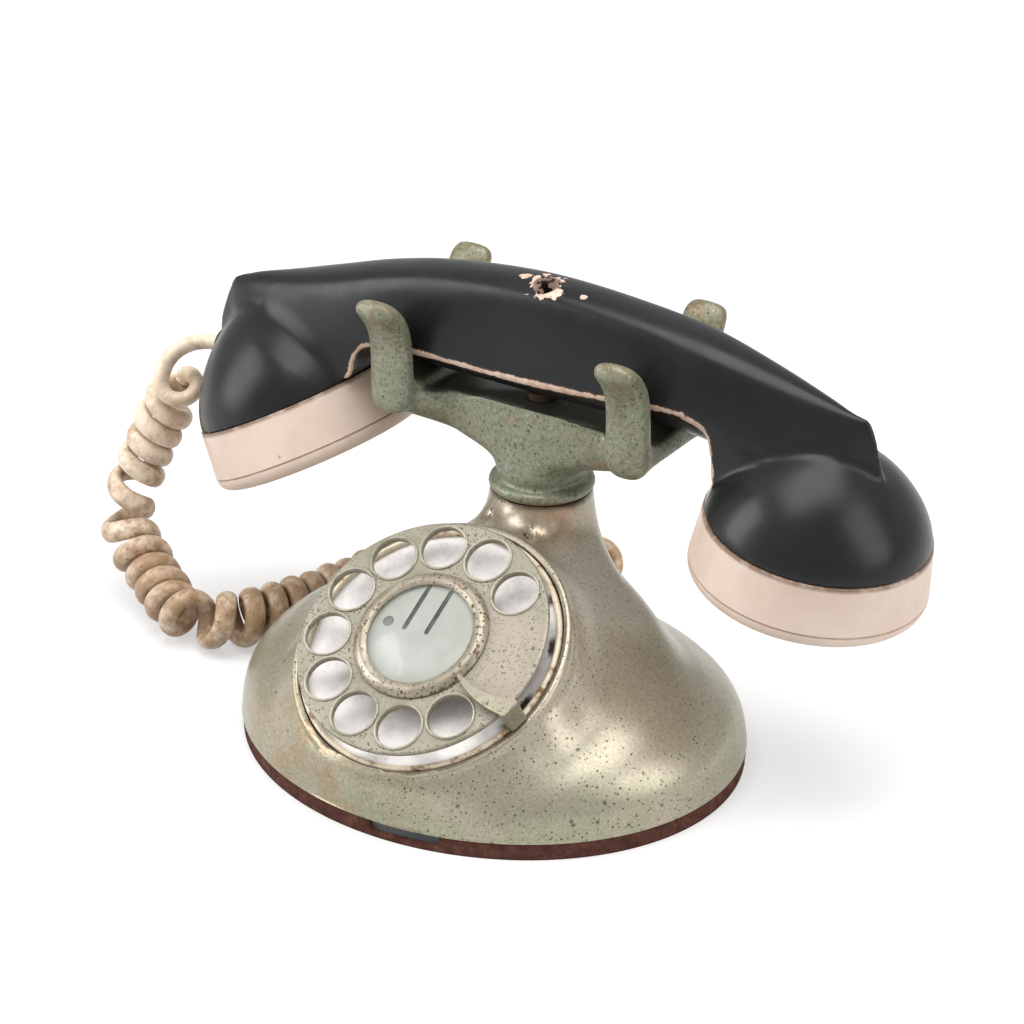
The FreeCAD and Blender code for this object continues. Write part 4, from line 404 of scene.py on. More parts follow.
# Handset handle: one hollow moulding, painted black over cream, a bowed grip that runs over two domed cups.
# The paint is worn through along its lower edge and round the small hole broken into its crest.
# It is drawn as a grip, two domes and two inner walls that are run together into one skin.
HANDLE_Y = 27.0
HANDLE_ROWS = [(-112.3, 112.6, 0.7, 3.2, 104.0, 99.0), (-106.0, 115.6, 2.6, 6.0, 102.5, 95.0),
               (-92.0, 119.4, 5.2, 10.2, 102.5, 95.0), (-72.0, 125.4, 7.4, 13.2, 104.5, 96.0),
               (-56.0, 130.2, 8.2, 13.9, 109.0, 101.0), (-35.0, 134.9, 8.6, 13.9, 110.5, 102.9),
               (0.0, 138.4, 8.8, 13.9, 110.5, 102.9), (35.0, 136.5, 8.4, 13.9, 112.4, 102.9),
               (54.0, 133.8, 7.8, 13.9, 113.5, 102.9), (72.0, 129.4, 6.4, 12.6, 109.0, 100.0),
               (90.0, 124.2, 4.2, 9.4, 105.0, 97.0), (100.0, 121.2, 2.2, 5.8, 103.5, 97.0),
               (105.6, 119.4, 0.7, 3.0, 104.5, 99.0)]
CUP_R = 32.6
CUP_POWER = 1.6
TRANSMITTER = {"x": -89.6, "z": 79.7, "lean": -28.0, "high": 32.0}
RECEIVER = {"x": 92.2, "z": 83.9, "lean": 9.0, "high": 27.0}
INNER_WALL_HALF = 13.0
INNER_WALL_DEEP = 26.0
INNER_WALL_TOP = 103.0
TRANSMITTER_WALL = [(-50.0, 110.3), (-52.5, 109.3), (-55.4, 107.3), (-58.0, 104.3), (-59.3, 100.7),
                    (-60.2, 97.0), (-61.2, 95.6)]
RECEIVER_WALL = [(55.0, 113.0), (59.5, 111.5), (61.8, 109.3), (63.4, 104.5), (64.2, 98.0), (64.3, 93.0),
                 (63.4, 89.4)]
# Outer edge of the thin skin at each end, and the point that it thickens towards
TRANSMITTER_FIN = [(-110.0, 113.8), (-112.6, 112.4), (-115.0, 107.8), (-117.0, 102.8), (-118.5, 98.0),
                   (-119.0, 94.0), (-118.2, 90.6)]
RECEIVER_FIN = [(103.4, 120.0), (105.8, 119.4), (107.3, 117.2), (108.8, 113.0),
                (110.3, 107.4), (112.0, 101.2)]
FIN_ROOTS = [(-96.0, 100.0), (92.0, 101.0)]
FIN_LONG = 11.0
FIN_EDGE_HALF = 0.7
FIN_ROOT_HALF = 6.0
# Line along which the dome at the transmitter's end runs up into the grip
VALLEY = [(-88.0, 14.0, 110.0), (-78.0, 14.0, 106.5), (-67.0, 14.0, 101.5), (-62.5, 14.0, 99.0)]
CREST_HOLE = (3.6, 23.6, 137.6)
CREST_HOLE_R = 4.0
# Size in millimetres of the small cubes that run the skins together
HANDLE_GRAIN = 0.65
HANDLE_ROUNDS = 34
VALLEY_ROUNDS = 60
CHIPS = [((-4.5, 24.8, 137.4), 1.4), ((9.0, 20.5, 137.6), 1.8), ((13.5, 18.5, 137.4), 1.6),
         ((8.4, 11.6, 136.6), 1.3), ((11.6, 11.4, 136.6), 1.0), ((16.9, 22.2, 137.4), 0.9)]


def through(points, count):
    """Evenly spread places on a smooth line through the given points."""
    stops = np.array(points, float)
    gaps = np.sqrt(np.linalg.norm(np.diff(stops, axis=0), axis=1))
    when = np.r_[0.0, np.cumsum(gaps)]
    slopes = np.gradient(stops, when, axis=0)
    wanted = np.linspace(0.0, when[-1], count)
    k = np.clip(np.searchsorted(when, wanted, side="right") - 1, 0, len(when) - 2)
    span = (when[k + 1] - when[k])[:, None]
    s = (wanted - when[k])[:, None] / span
    return (stops[k] * (1 + 2 * s) * (1 - s) ** 2 + slopes[k] * span * s * (1 - s) ** 2
            + stops[k + 1] * s * s * (3 - 2 * s) + slopes[k + 1] * span * s * s * (s - 1))


def eased(corners, steps):
    """Outline from the first corner to the last that rounds off every corner between them."""
    corners = np.array(corners, float)
    line = [corners[0]]
    for k in range(1, len(corners) - 1):
        start = corners[0] if k == 1 else (corners[k - 1] + corners[k]) / 2
        end = corners[-1] if k == len(corners) - 2 else (corners[k] + corners[k + 1]) / 2
        for t in np.linspace(0.0, 1.0, steps + 1)[1:]:
            line.append(start * (1 - t) ** 2 + corners[k] * 2 * t * (1 - t) + end * t * t)
    return line


def grip_ring(x, top, roof, side, seam, under):
    """One section of the grip: a roof with sloping flanks, a seam at its widest, and a flat underside."""
    flank = (roof + (side - roof) * 0.62, (top + seam) / 2)
    under_y = min(8.5, side * 8.5 / 13.5)
    over = eased([(side, seam), flank, (roof, top), (-roof, top), (-flank[0], flank[1]), (-side, seam)], 8)
    below = eased([(-side, seam), (-under_y, under), (under_y, under), (side, seam)], 8)
    return [(x, HANDLE_Y + y, z) for y, z in over + below[1:-1]]


def closed_loft(rings):
    """Closed skin over rings of equally many points, as points and faces."""
    rings = np.array(rings, float)
    return rings.reshape(-1, 3), closed_faces(*rings.shape[:2])


def lathe(profile, around, place=None):
    """Closed turned skin from a profile of (radius, height); place moves it to where it belongs."""
    rings = []
    for radius, height in profile:
        turns = [2 * math.pi * j / around for j in range(around)]
        rings.append([(radius * math.cos(a), radius * math.sin(a), height) for a in turns])
    points, faces = closed_loft(rings)
    return (points if place is None else place(points)), faces


def moved(across, back):
    """Move from the frame of an upright axis to the telephone's."""
    return lambda points: points + np.array([across, back, 0.0])


def on_cup(cup):
    """Move from a cup's own frame, up through its dome, to the telephone's."""
    lean = math.radians(cup["lean"])

    def place(points):
        x, y, z = points[:, 0], points[:, 1], points[:, 2]
        return np.stack([cup["x"] + x * math.cos(lean) + z * math.sin(lean), HANDLE_Y + y,
                         cup["z"] - x * math.sin(lean) + z * math.cos(lean)], axis=1)
    return place


def dome_skin(cup):
    """Dome of one cup, a little fuller than a ball."""
    profile = [(CUP_R * 0.5, 0.0), (CUP_R, 0.0)]
    for k in range(1, 25):
        angle = math.pi / 2 * k / 24.5
        out, up = (part ** (2 / CUP_POWER) for part in (math.cos(angle), math.sin(angle)))
        profile.append((CUP_R * out, cup["high"] * up))
    return lathe(profile, 96, on_cup(cup))


def inner_wall(outline, cup):
    """Block that fills a cup from its inner wall outwards."""
    away = math.copysign(INNER_WALL_DEEP, cup["x"])
    low = (outline[-1][0] + away, outline[-1][1] - away * math.tan(math.radians(cup["lean"])))
    line = [tuple(p) for p in through(outline, 24)] + [low, (outline[1][0] + away, INNER_WALL_TOP)]
    rings = [[(x, HANDLE_Y + y, z) for x, z in line] for y in (-INNER_WALL_HALF, INNER_WALL_HALF)]
    return closed_loft(rings)


def fin_skin(outline, root):
    """Wedge that thickens from a fin's outer edge towards its root."""
    rings = []
    for edge in through(outline, 24):
        run = np.array(root) - edge
        x, z = edge + run * (FIN_LONG / np.linalg.norm(run))
        corners = [(*edge, -FIN_EDGE_HALF), (*edge, FIN_EDGE_HALF),
                   (x, z, FIN_ROOT_HALF), (x, z, -FIN_ROOT_HALF)]
        rings.append([(a, HANDLE_Y + y, b) for a, b, y in corners])
    return closed_loft(rings)


def fin_lines():
    return [np.stack([line[:, 0], np.full(len(line), HANDLE_Y), line[:, 1]], axis=1)
            for line in (through(TRANSMITTER_FIN, 80), through(RECEIVER_FIN, 80))]


def as_piece(name, skins, material):
    points, faces = [], []
    for skin_points, skin_faces in skins:
        start = len(points)
        points += [tuple(p) for p in skin_points]
        faces += [tuple(start + i for i in face) for face in skin_faces]
    return new_piece(name, points, faces, material, smooth=False)


def applied(piece, material):
    """Keep what the piece's modifiers make as its own mesh."""
    bpy.context.view_layer.update()
    shaped = bpy.data.meshes.new_from_object(piece.evaluated_get(bpy.context.evaluated_depsgraph_get()))
    old = piece.data
    piece.modifiers.clear()
    piece.data = shaped
    shaped.materials.clear()
    shaped.materials.append(material)
    bpy.data.meshes.remove(old)
    return shaped


def run_together(piece, grain, material):
    """One skin round skins that run into each other, with the given grain in millimetres."""
    skin = piece.modifiers.new("skin", "REMESH")
    skin.mode = "VOXEL"
    skin.voxel_size = grain * 0.001
    return applied(piece, material)


def points_of(mesh):
    spots = np.zeros(len(mesh.vertices) * 3)
    mesh.vertices.foreach_get("co", spots)
    return spots.reshape(-1, 3) * 1000.0


def relaxed(mesh, share, rounds):
    """Even out a mesh; share says how far each of its points may follow its neighbours."""
    spots = points_of(mesh)
    ends = np.zeros(len(mesh.edges) * 2, int)
    mesh.edges.foreach_get("vertices", ends)
    a, b = ends.reshape(-1, 2).T
    count = len(spots)
    near = np.bincount(a, minlength=count) + np.bincount(b, minlength=count)
    for _ in range(rounds):
        middle = np.empty_like(spots)
        for k in range(3):
            total = np.bincount(a, spots[b, k], count) + np.bincount(b, spots[a, k], count)
            middle[:, k] = total / near
        spots += (middle - spots) * share[:, None]
    mesh.vertices.foreach_set("co", (spots * 0.001).ravel())
    mesh.update()
    return spots


def distance_to(spots, lines):
    """Distance from each point to the nearest of the lines, in millimetres."""
    marks = np.vstack(lines)
    tree = kdtree.KDTree(len(marks))
    for k, mark in enumerate(marks):
        tree.insert(mark, k)
    tree.balance()
    return np.array([tree.find(spot)[2] for spot in spots])


def store(mesh, name, values):
    mesh.attributes.new(name, "FLOAT", "POINT").data.foreach_set("value", values.astype(np.float32))


def bored(piece, tool_skin, material):
    """Cut a closed skin out of the piece."""
    tool = as_piece("cutter", [tool_skin], material)
    cut = piece.modifiers.new("bore", "BOOLEAN")
    cut.operation = "DIFFERENCE"
    cut.solver = "EXACT"
    cut.object = tool
    mesh = applied(piece, material)
    bpy.data.objects.remove(tool)
    return mesh


def worn_edge_lines():
    """The lower edge of the moulding on both sides: inner wall, seam of the grip, inner wall."""
    rows = through(HANDLE_ROWS, 400)
    rows = rows[(rows[:, 0] > -50) & (rows[:, 0] < 55)]
    lines = []
    for sign in (-1, 1):
        for wall in (TRANSMITTER_WALL, RECEIVER_WALL):
            spread = through(wall, 160)
            y = np.full(len(spread), HANDLE_Y + sign * INNER_WALL_HALF)
            lines.append(np.stack([spread[:, 0], y, spread[:, 1]], axis=1))
        lines.append(np.stack([rows[:, 0], HANDLE_Y + sign * rows[:, 3], rows[:, 4]], axis=1))
    return lines


def rim_lines():
    turns = np.linspace(0, 2 * math.pi, 500)
    rim = np.stack([CUP_R * np.cos(turns), CUP_R * np.sin(turns), 0 * turns], axis=1)
    return [on_cup(TRANSMITTER)(rim), on_cup(RECEIVER)(rim)]


def distance_from(place, spot):
    """Distance in millimetres from a spot given in millimetres."""
    away = node(place.id_data, "ShaderNodeVectorMath", {"operation": "DISTANCE"}, _0=place,
                _1=[c * 0.001 for c in spot])
    return times(away.outputs["Value"], 1000.0)


def black_enamel():
    """Satin black paint over cream, rubbed on its crown and flaked along its lower edge."""
    material, shader, place = surface("worn_black_handset_paint")
    tree = material.node_tree
    edge = node(tree, "ShaderNodeAttribute", {"attribute_name": "edge_mm"}).outputs["Fac"]
    ragged = noise_at(place, 650.0, 5.0, 0.7)
    wander = noise_at(place, 70.0, 3.0)
    reach = between(wander, 0.35, 0.68, 0.75, 1.45)
    reach = plus(reach, between(ragged, 0.3, 0.7, -0.28, 0.28))
    gone = below(edge, reach)
    rim = below(edge, plus(reach, 0.30))
    hole = distance_from(place, CREST_HOLE)
    flaked = noise_at(place, 330.0, 5.0, 0.65)
    ring_reach = between(flaked, 0.42, 0.62, 3.4, 7.0)
    flakes = below(hole, ring_reach)
    bare = most(gone, flakes)
    for spot, size in CHIPS:
        chip_reach = between(flaked, 0.35, 0.6, size * 0.5, size * 1.5)
        bare = most(bare, below(distance_from(place, spot), chip_reach))
    nicks = specks(place, 60.0, 0.014, 0.16)
    bare = most(bare, nicks)
    smoky = ramp(noise_at(place, 24.0, 5.0),
                 [(0.3, (0.0065, 0.0068, 0.0078)), (0.7, (0.0135, 0.0138, 0.0145))])
    cream = ramp(noise_at(place, 420.0, 4.0),
                 [(0.3, (0.53, 0.36, 0.27)), (0.62, (0.74, 0.56, 0.455))])
    inside = between(hole, CREST_HOLE_R - 0.3, CREST_HOLE_R + 0.3, 1.0, 0.0)
    fibres = ramp(noise_at(place, 1300.0, 4.0, 0.75),
                  [(0.35, (0.055, 0.034, 0.018)), (0.68, (0.30, 0.22, 0.15))])
    colour = tinted(smoky, rim, (0.115, 0.062, 0.035))
    colour = blend_colour(bare, colour, cream)
    colour = blend_colour(inside, colour, fibres)
    plug(shader, "Base Color", colour)
    rubbed = noise_at(place, 45.0, 6.0, 0.7)
    gloss = between(rubbed, 0.3, 0.7, 0.22, 0.38)
    plug(shader, "Roughness", gloss)
    shader.inputs["Specular IOR Level"].default_value = 0.30
    grain = noise_at(place, 900.0, 3.0)
    height = minus(times(grain, 0.06), bare)
    bumps(shader, height, 0.7, 0.00012)
    return material


handle_paint = black_enamel()
grip_rings = [grip_ring(*row) for row in through(HANDLE_ROWS, 150)]
handle_skins = [closed_loft(grip_rings), dome_skin(TRANSMITTER), dome_skin(RECEIVER),
                inner_wall(TRANSMITTER_WALL, TRANSMITTER), inner_wall(RECEIVER_WALL, RECEIVER),
                fin_skin(TRANSMITTER_FIN, FIN_ROOTS[0]), fin_skin(RECEIVER_FIN, FIN_ROOTS[1])]
handset_shell = as_piece("handset_shell", handle_skins, handle_paint)
handle_mesh = run_together(handset_shell, HANDLE_GRAIN, handle_paint)
crisp = distance_to(points_of(handle_mesh), worn_edge_lines() + rim_lines() + fin_lines())
relaxed(handle_mesh, np.clip((crisp - 0.6) / 5.0, 0.04, 0.5), HANDLE_ROUNDS)
valley = distance_to(points_of(handle_mesh), [through(VALLEY, 40)])
follow = np.clip((11.0 - valley) / 5.0, 0.0, 0.5) * np.clip((crisp - 1.0) / 3.0, 0.0, 1.0)
relaxed(handle_mesh, follow, VALLEY_ROUNDS)
hole_profile = [(CREST_HOLE_R * 0.94, 128.0), (CREST_HOLE_R, 134.0), (CREST_HOLE_R * 1.04, 140.0)]
hole_skin = lathe(hole_profile, 28, moved(CREST_HOLE[0], CREST_HOLE[1]))
handle_mesh = bored(handset_shell, hole_skin, handle_paint)
store(handle_mesh, "edge_mm", distance_to(points_of(handle_mesh), worn_edge_lines()))
handle_mesh.shade_smooth()
handle_mesh.set_sharp_from_angle(angle=math.radians(52))
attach(handset_shell, "handset")
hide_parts("handset_handle")


# Screw-on caps of the two cups: cream moulded caps with a fine turned groove low on the side.
# They have yellowed unevenly, with brown grime packed into the groove and the joint under the black paint.
# How far the turned groove lies below the cap's joint
CAP_GROOVE = 15.0


def cap_cream(name, cup):
    material, shader, place = surface(name)
    tree = material.node_tree
    own = node(tree, "ShaderNodeMapping", {"vector_type": "TEXTURE"}, Vector=place,
               Location=(cup["x"] * 0.001, HANDLE_Y * 0.001, cup["z"] * 0.001),
               Rotation=(0.0, math.radians(cup["lean"]), 0.0)).outputs[0]
    height = times(split(own)[2], 1000.0)
    tone = ramp(noise_at(place, 26.0, 5.0),
                [(0.32, (0.62, 0.47, 0.375)), (0.5, (0.71, 0.56, 0.465)), (0.7, (0.78, 0.65, 0.555))])
    smear = noise_at(place, 95.0, 6.0, 0.7)
    joint = between(height, -1.5, -0.5)
    from_groove = math_node("ABSOLUTE", plus(height, CAP_GROOVE))
    groove = times(between(from_groove, 0.15, 0.6, 1.0, 0.0), 0.4)
    dirt = times(most(joint, groove), between(smear, 0.30, 0.52))
    colour = marked(tone, dirt, 0.85, (0.17, 0.095, 0.055))
    stain = between(smear, 0.60, 0.78, 0.0, 0.35)
    colour = tinted(colour, stain, (0.50, 0.35, 0.22))
    spots = specks(place, 150.0, 0.035, 0.10)
    colour = marked(colour, spots, 0.7, (0.20, 0.11, 0.06))
    plug(shader, "Base Color", colour)
    plug(shader, "Roughness", between(smear, 0.3, 0.75, 0.34, 0.5))
    shader.inputs["Subsurface Weight"].default_value = 0.06
    shader.inputs["Subsurface Scale"].default_value = 0.003
    bumps(shader, smear, 0.12, 0.0002)
    return material


def dress(material, *names):
    """Give CAD nodes whose shape is right their finish."""
    for name in names:
        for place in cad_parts[name].material_slots:
            place.material = material


dress(cap_cream("cream_transmitter_cap", TRANSMITTER), "transmitter_cap")
dress(cap_cream("cream_receiver_cap", RECEIVER), "receiver_cap")


# Rubber: the bush that carries the curly cord into the handset, and the two plugs in the back of the base.
# Moulded black rubber gone dull and dusty, pressed into its holes.
def dull_rubber():
    material, shader, place = surface("dull_black_rubber")
    dust = noise_at(place, 240.0, 6.0, 0.7)
    tone = ramp(dust, [(0.35, (0.022, 0.021, 0.020)), (0.7, (0.075, 0.068, 0.060))])
    plug(shader, "Base Color", tone)
    plug(shader, "Roughness", between(dust, 0.3, 0.7, 0.6, 0.85))
    bumps(shader, noise_at(place, 900.0, 3.0), 0.3, 0.0001)
    return material


dress(dull_rubber(), "cord_bush", "handset_cord_grommet", "line_cord_inlet")


# Cradle: one painted casting screwed to the neck by its spigot, a saddle that spreads from a beaded stem
# into four upright prongs with rolled, outward-leaning tips. The hook-switch plunger stands in its middle.
CRADLE_Y = 27.0
STEM_PROFILE = [(4.0, 57.0), (9.8, 57.0), (9.8, 71.6), (14.6, 71.6), (15.5, 72.1), (15.95, 73.2),
                (15.7, 74.4), (14.9, 75.1), (13.2, 75.3), (12.8, 76.2), (13.3, 79.0), (4.0, 79.0)]
SADDLE_ROWS = [(12.8, 12.8, 76.2, 2.0), (13.7, 13.4, 77.5, 2.0), (15.0, 13.2, 80.5, 2.0),
               (20.0, 12.8, 83.3, 2.1), (27.0, 12.4, 85.2, 2.3), (33.5, 12.0, 87.3, 2.5),
               (36.6, 11.8, 90.8, 2.7), (37.0, 11.5, 97.5, 2.8), (37.0, 11.4, 104.0, 2.8)]
PRONG_X = 40.6
PRONG_ROWS = [(-0.10, 0.010, 2.2, 4.4), (-0.04, 0.05, 3.7, 6.1), (0.0, 0.13, 4.1, 6.9),
              (0.0, 0.26, 4.1, 7.0), (0.0, 0.42, 4.0, 6.9), (0.03, 0.58, 3.9, 6.9),
              (0.14, 0.71, 3.8, 7.0), (0.36, 0.82, 3.7, 7.1), (0.66, 0.91, 3.5, 7.0),
              (0.93, 0.965, 3.0, 6.5), (1.12, 0.99, 1.8, 5.2)]
PRONG_FOOT = 93.0
PRONG_FOOT_OUT = 18.5
# Out from the middle, height, half width and half height of the web that runs in from each prong's foot
WEB_ROWS = [(40.2, 16.4, 95.9, 6.3, 3.8), (36.5, 12.8, 94.6, 6.8, 4.8), (30.0, 8.5, 92.8, 7.0, 5.8),
            (21.0, 5.0, 90.0, 7.0, 6.2)]
PRONG_TIPS = [(-28.0, 128.9), (25.5, 130.2)]
PLUNGER_BORE = [(3.1, 50.0), (3.1, 60.0), (5.7, 60.0), (5.7, 87.0), (3.1, 87.0), (3.1, 100.0), (4.9, 100.0),
                (4.9, 110.0)]
CRADLE_GRAIN = 0.55
CRADLE_ROUNDS = 30


def squared_ring(centre, across, along, half_a, half_b, power, around=56):
    ring = []
    for k in range(around):
        c = math.cos(2 * math.pi * (k + 0.5) / around)
        s = math.sin(2 * math.pi * (k + 0.5) / around)
        a = math.copysign(abs(c) ** (2 / power), c) * half_a
        b = math.copysign(abs(s) ** (2 / power), s) * half_b
        ring.append(np.array(centre) + np.array(across) * a + np.array(along) * b)
    return ring


def saddle_skin():
    rings = []
    for half_x, half_y, z, power in through(SADDLE_ROWS, 48):
        ring = np.array(squared_ring((0, CRADLE_Y, z), (1, 0, 0), (0, 1, 0), half_x, half_y, power, 72))
        ring[:, 2] = np.minimum(ring[:, 2], 102.0 - 4.5 * (ring[:, 0] / 37.0) ** 2)
        rings.append(ring)
    return closed_loft(rings)


def prong_skin(x, tip_y, tip_z):
    side = math.copysign(1.0, tip_y)
    rows = through(PRONG_ROWS, 44)
    out = PRONG_FOOT_OUT + rows[:, 0] * (abs(tip_y) - PRONG_FOOT_OUT)
    up = PRONG_FOOT + rows[:, 1] * (tip_z - PRONG_FOOT)
    centres = np.stack([np.full(len(rows), x), CRADLE_Y + side * out, up], axis=1)
    runs = np.gradient(centres, axis=0)
    runs /= np.linalg.norm(runs, axis=1)[:, None]
    rings = []
    for centre, run, (_, _, thick, wide) in zip(centres, runs, rows):
        rings.append(squared_ring(centre, (1, 0, 0), (0, run[2], -run[1]), wide, thick, 2.6, 40))
    return closed_loft(rings)


def prong_root(x):
    rings = [squared_ring((x, CRADLE_Y + y, 98.3), (1, 0, 0), (0, 0, 1), half, 4.3 * half / 6.8, 3.2, 40)
             for y, half in ((-17.4, 6.2), (-16.0, 6.8), (16.0, 6.8), (17.4, 6.2))]
    return closed_loft(rings)


def web_skin(side_x, side_y):
    rings = []
    for x, y, z, wide, high in through(WEB_ROWS, 20):
        centre = (side_x * x, CRADLE_Y + side_y * y, z)
        rings.append(squared_ring(centre, (side_x, 0, 0), (0, 0, side_y), wide, high, 2.6, 40))
    return closed_loft(rings)


def grey_green_paint():
    """Old grey-green metallic paint, thickly speckled, with rusty streaks and pale scratches, and painted
    shade on the saddle's top under the handset.
    """
    material, shader, place = surface("speckled_cradle_paint")
    tree = material.node_tree
    broad = noise_at(place, 42.0, 5.0)
    tone = ramp(broad, [(0.30, (0.17, 0.165, 0.105)), (0.48, (0.245, 0.248, 0.172)),
                        (0.62, (0.235, 0.258, 0.182)), (0.78, (0.31, 0.30, 0.225))])
    fine = noise_at(place, 820.0, 3.0, 0.75)
    colour = tinted(tone, between(fine, 0.52, 0.66, 0.0, 0.75), (0.105, 0.115, 0.062))
    colour = tinted(colour, between(fine, 0.44, 0.32, 0.0, 0.55), (0.40, 0.385, 0.30))
    green = most(specks(place, 430.0, 0.17, 0.5),
                 specks(place, 900.0, 0.22, 0.55))
    colour = marked(colour, green, 0.85, (0.055, 0.095, 0.040))
    stretched = node(tree, "ShaderNodeMapping", None, Vector=place, Scale=(0.55, 1.0, 0.55)).outputs[0]
    vein = noise_at(stretched, 85.0, 3.0, 0.55)
    from_vein = math_node("ABSOLUTE", minus(vein, 0.5))
    line = between(from_vein, 0.004, 0.016, 1.0, 0.0)
    patch = between(noise_at(place, 30.0, 2.0), 0.48, 0.6)
    colour = marked(colour, times(line, patch), 0.55, (0.44, 0.245, 0.105))
    high = split(place)[2]
    tips = between(high, 0.119, 0.128, 0.0, 1.0)
    worn = times(tips, between(noise_at(place, 300.0, 5.0, 0.7), 0.42, 0.58))
    colour = marked(colour, worn, 0.7, (0.17, 0.12, 0.06))
    slash = node(tree, "ShaderNodeMapping", None, Vector=place, Rotation=(0.3, 0.7, 0.4),
                 Scale=(1.0, 1.0, 0.12)).outputs[0]
    cuts = between(noise_at(slash, 520.0, 3.0, 0.6), 0.70, 0.74)
    cuts = times(cuts, between(noise_at(place, 33.0, 2.0), 0.53, 0.62))
    colour = marked(colour, cuts, 0.8, (0.62, 0.64, 0.60))
    # Painted shade: the top of the saddle, which lies under the handset, is darkened where it faces up.
    facing = split(tree.nodes.new("ShaderNodeNewGeometry").outputs["Normal"])[2]
    saddle = times(between(high, 0.0950, 0.0985), between(high, 0.106, 0.104))
    grime_and_painted_shade = times(between(facing, 0.45, 0.85), saddle)
    colour = marked(colour, grime_and_painted_shade, 0.85, (0.035, 0.032, 0.022))
    patchy = between(noise_at(place, 150.0, 4.0), 0.38, 0.52)
    copper = times(between(high, 0.0729, 0.0721), patchy)
    colour = marked(colour, copper, 0.8, (0.36, 0.19, 0.09))
    plug(shader, "Base Color", colour)
    shader.inputs["Metallic"].default_value = 0.25
    plug(shader, "Roughness", between(fine, 0.3, 0.7, 0.34, 0.52))
    bumps(shader, minus(fine, green), 0.35, 0.00012)
    return material


cradle_paint = grey_green_paint()
on_cradle = moved(0.0, CRADLE_Y)
cradle_skins = [lathe(STEM_PROFILE, 96, on_cradle), saddle_skin()]
for prong_x in (-PRONG_X, PRONG_X):
    cradle_skins.append(prong_root(prong_x))
    cradle_skins += [prong_skin(prong_x, *tip) for tip in PRONG_TIPS]
    cradle_skins += [web_skin(math.copysign(1, prong_x), side) for side in (-1, 1)]
cradle_casting = as_piece("cradle_casting", cradle_skins, cradle_paint)
cradle_mesh = run_together(cradle_casting, CRADLE_GRAIN, cradle_paint)
above_bead = np.clip((points_of(cradle_mesh)[:, 2] - 76.0) / 4.0, 0.0, 1.0)
relaxed(cradle_mesh, 0.04 + 0.46 * above_bead, CRADLE_ROUNDS)
cradle_mesh = bored(cradle_casting, lathe(PLUNGER_BORE, 48, on_cradle), cradle_paint)
cradle_mesh.shade_smooth()
cradle_mesh.set_sharp_from_angle(angle=math.radians(50))
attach(cradle_casting, "base")
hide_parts("cradle")


# Base shell: one pressed metal bell, drawn up from an oval foot into the neck, with a seat for the dial.
# Its silver-green metallic paint has warmed with age, is speckled green and brown and rubbed to copper
# under the cradle's bead.

# Middle of the dial's face plane in metres, and its tilt
DIAL_CENTRE = (0.0, -0.0320, 0.0434)
DIAL_TILT = math.radians(34.0)
DIAL_SEAT_R = 42.5
# Middle and reach of the part in front of the neck that is evened out, and the height of its top rim
NECK_FRONT = (0.0, 9.0, 60.0)
NECK_REACH = 20.0
NECK_TOP = 70.9
NECK_ROUNDS = 150


def shell_paint():
    material, shader, place = surface("silver_green_shell_paint")
    across, back, high = split(place)
    broad = noise_at(place, 13.0, 4.0, 0.55)
    tone = ramp(broad, [(0.34, (0.315, 0.302, 0.220)), (0.50, (0.395, 0.345, 0.268)),
                        (0.66, (0.430, 0.375, 0.298))])
    low = between(high, 0.040, 0.008)
    cloud = noise_at(place, 48.0, 5.0, 0.65)
    greener = times(low, between(cloud, 0.36, 0.62))
    colour = marked(tone, greener, 0.8, (0.300, 0.315, 0.205))
    front = between(back, -0.035, -0.062)
    left = between(across, 0.022, -0.004)
    patchy = between(noise_at(place, 120.0, 6.0, 0.72), 0.44, 0.60)
    grime_and_painted_shade = times(times(front, left), patchy)
    colour = marked(colour, grime_and_painted_shade, 0.75, (0.34, 0.225, 0.115))
    fine = noise_at(place, 1300.0, 2.0, 0.7)
    colour = tinted(colour, between(fine, 0.50, 0.68, 0.0, 0.40), (0.17, 0.165, 0.11))
    colour = tinted(colour, between(fine, 0.48, 0.32, 0.0, 0.30), (0.56, 0.52, 0.43))
    small = specks(place, 800.0, 0.19, 0.45)
    medium = specks(place, 420.0, 0.12, 0.42)
    small = most(small, medium)
    crowd = between(noise_at(place, 20.0, 2.0), 0.40, 0.60, 0.35, 1.0)
    colour = blend_colour(times(small, crowd), colour, (0.100, 0.100, 0.050, 1.0))
    large = specks(place, 180.0, 0.080, 0.40)
    large = times(large, between(high, 0.046, 0.030))
    colour = marked(colour, large, 0.9, (0.085, 0.125, 0.055))
    neck = distance_from(place, (12.0, 13.0, 70.0))
    copper = times(between(neck, 4.0, 13.0, 1.0, 0.0), between(cloud, 0.38, 0.60))
    colour = marked(colour, copper, 0.6, (0.46, 0.29, 0.18))
    # Painted shade: the top rim of the neck is darkened just under the cradle's bead.
    shade_under_bead = between(high, 0.0697, 0.0712)
    colour = marked(colour, shade_under_bead, 0.8, (0.06, 0.045, 0.025))
    plug(shader, "Base Color", colour)
    shader.inputs["Metallic"].default_value = 0.65
    plug(shader, "Roughness", between(cloud, 0.3, 0.7, 0.28, 0.38))
    pitted = minus(times(fine, 0.35), most(small, large))
    bumps(shader, pitted, 0.35, 0.0001)
    return material


def neck_share(spots):
    """How far each point may move: most in front of the neck, not at all on the dial's seat and the rim."""
    tilt = np.array((0.0, -math.sin(DIAL_TILT), math.cos(DIAL_TILT)))
    seat = np.linalg.norm(np.cross(spots - np.array(DIAL_CENTRE) * 1000.0, tilt), axis=1)
    away = np.linalg.norm(spots - np.array(NECK_FRONT), axis=1)
    share = np.clip((NECK_REACH - away) / 8.0, 0.0, 1.0)
    return share * np.clip((seat - DIAL_SEAT_R) / 2.5, 0.0, 1.0) * np.clip(NECK_TOP - spots[:, 2], 0.0, 1.0)


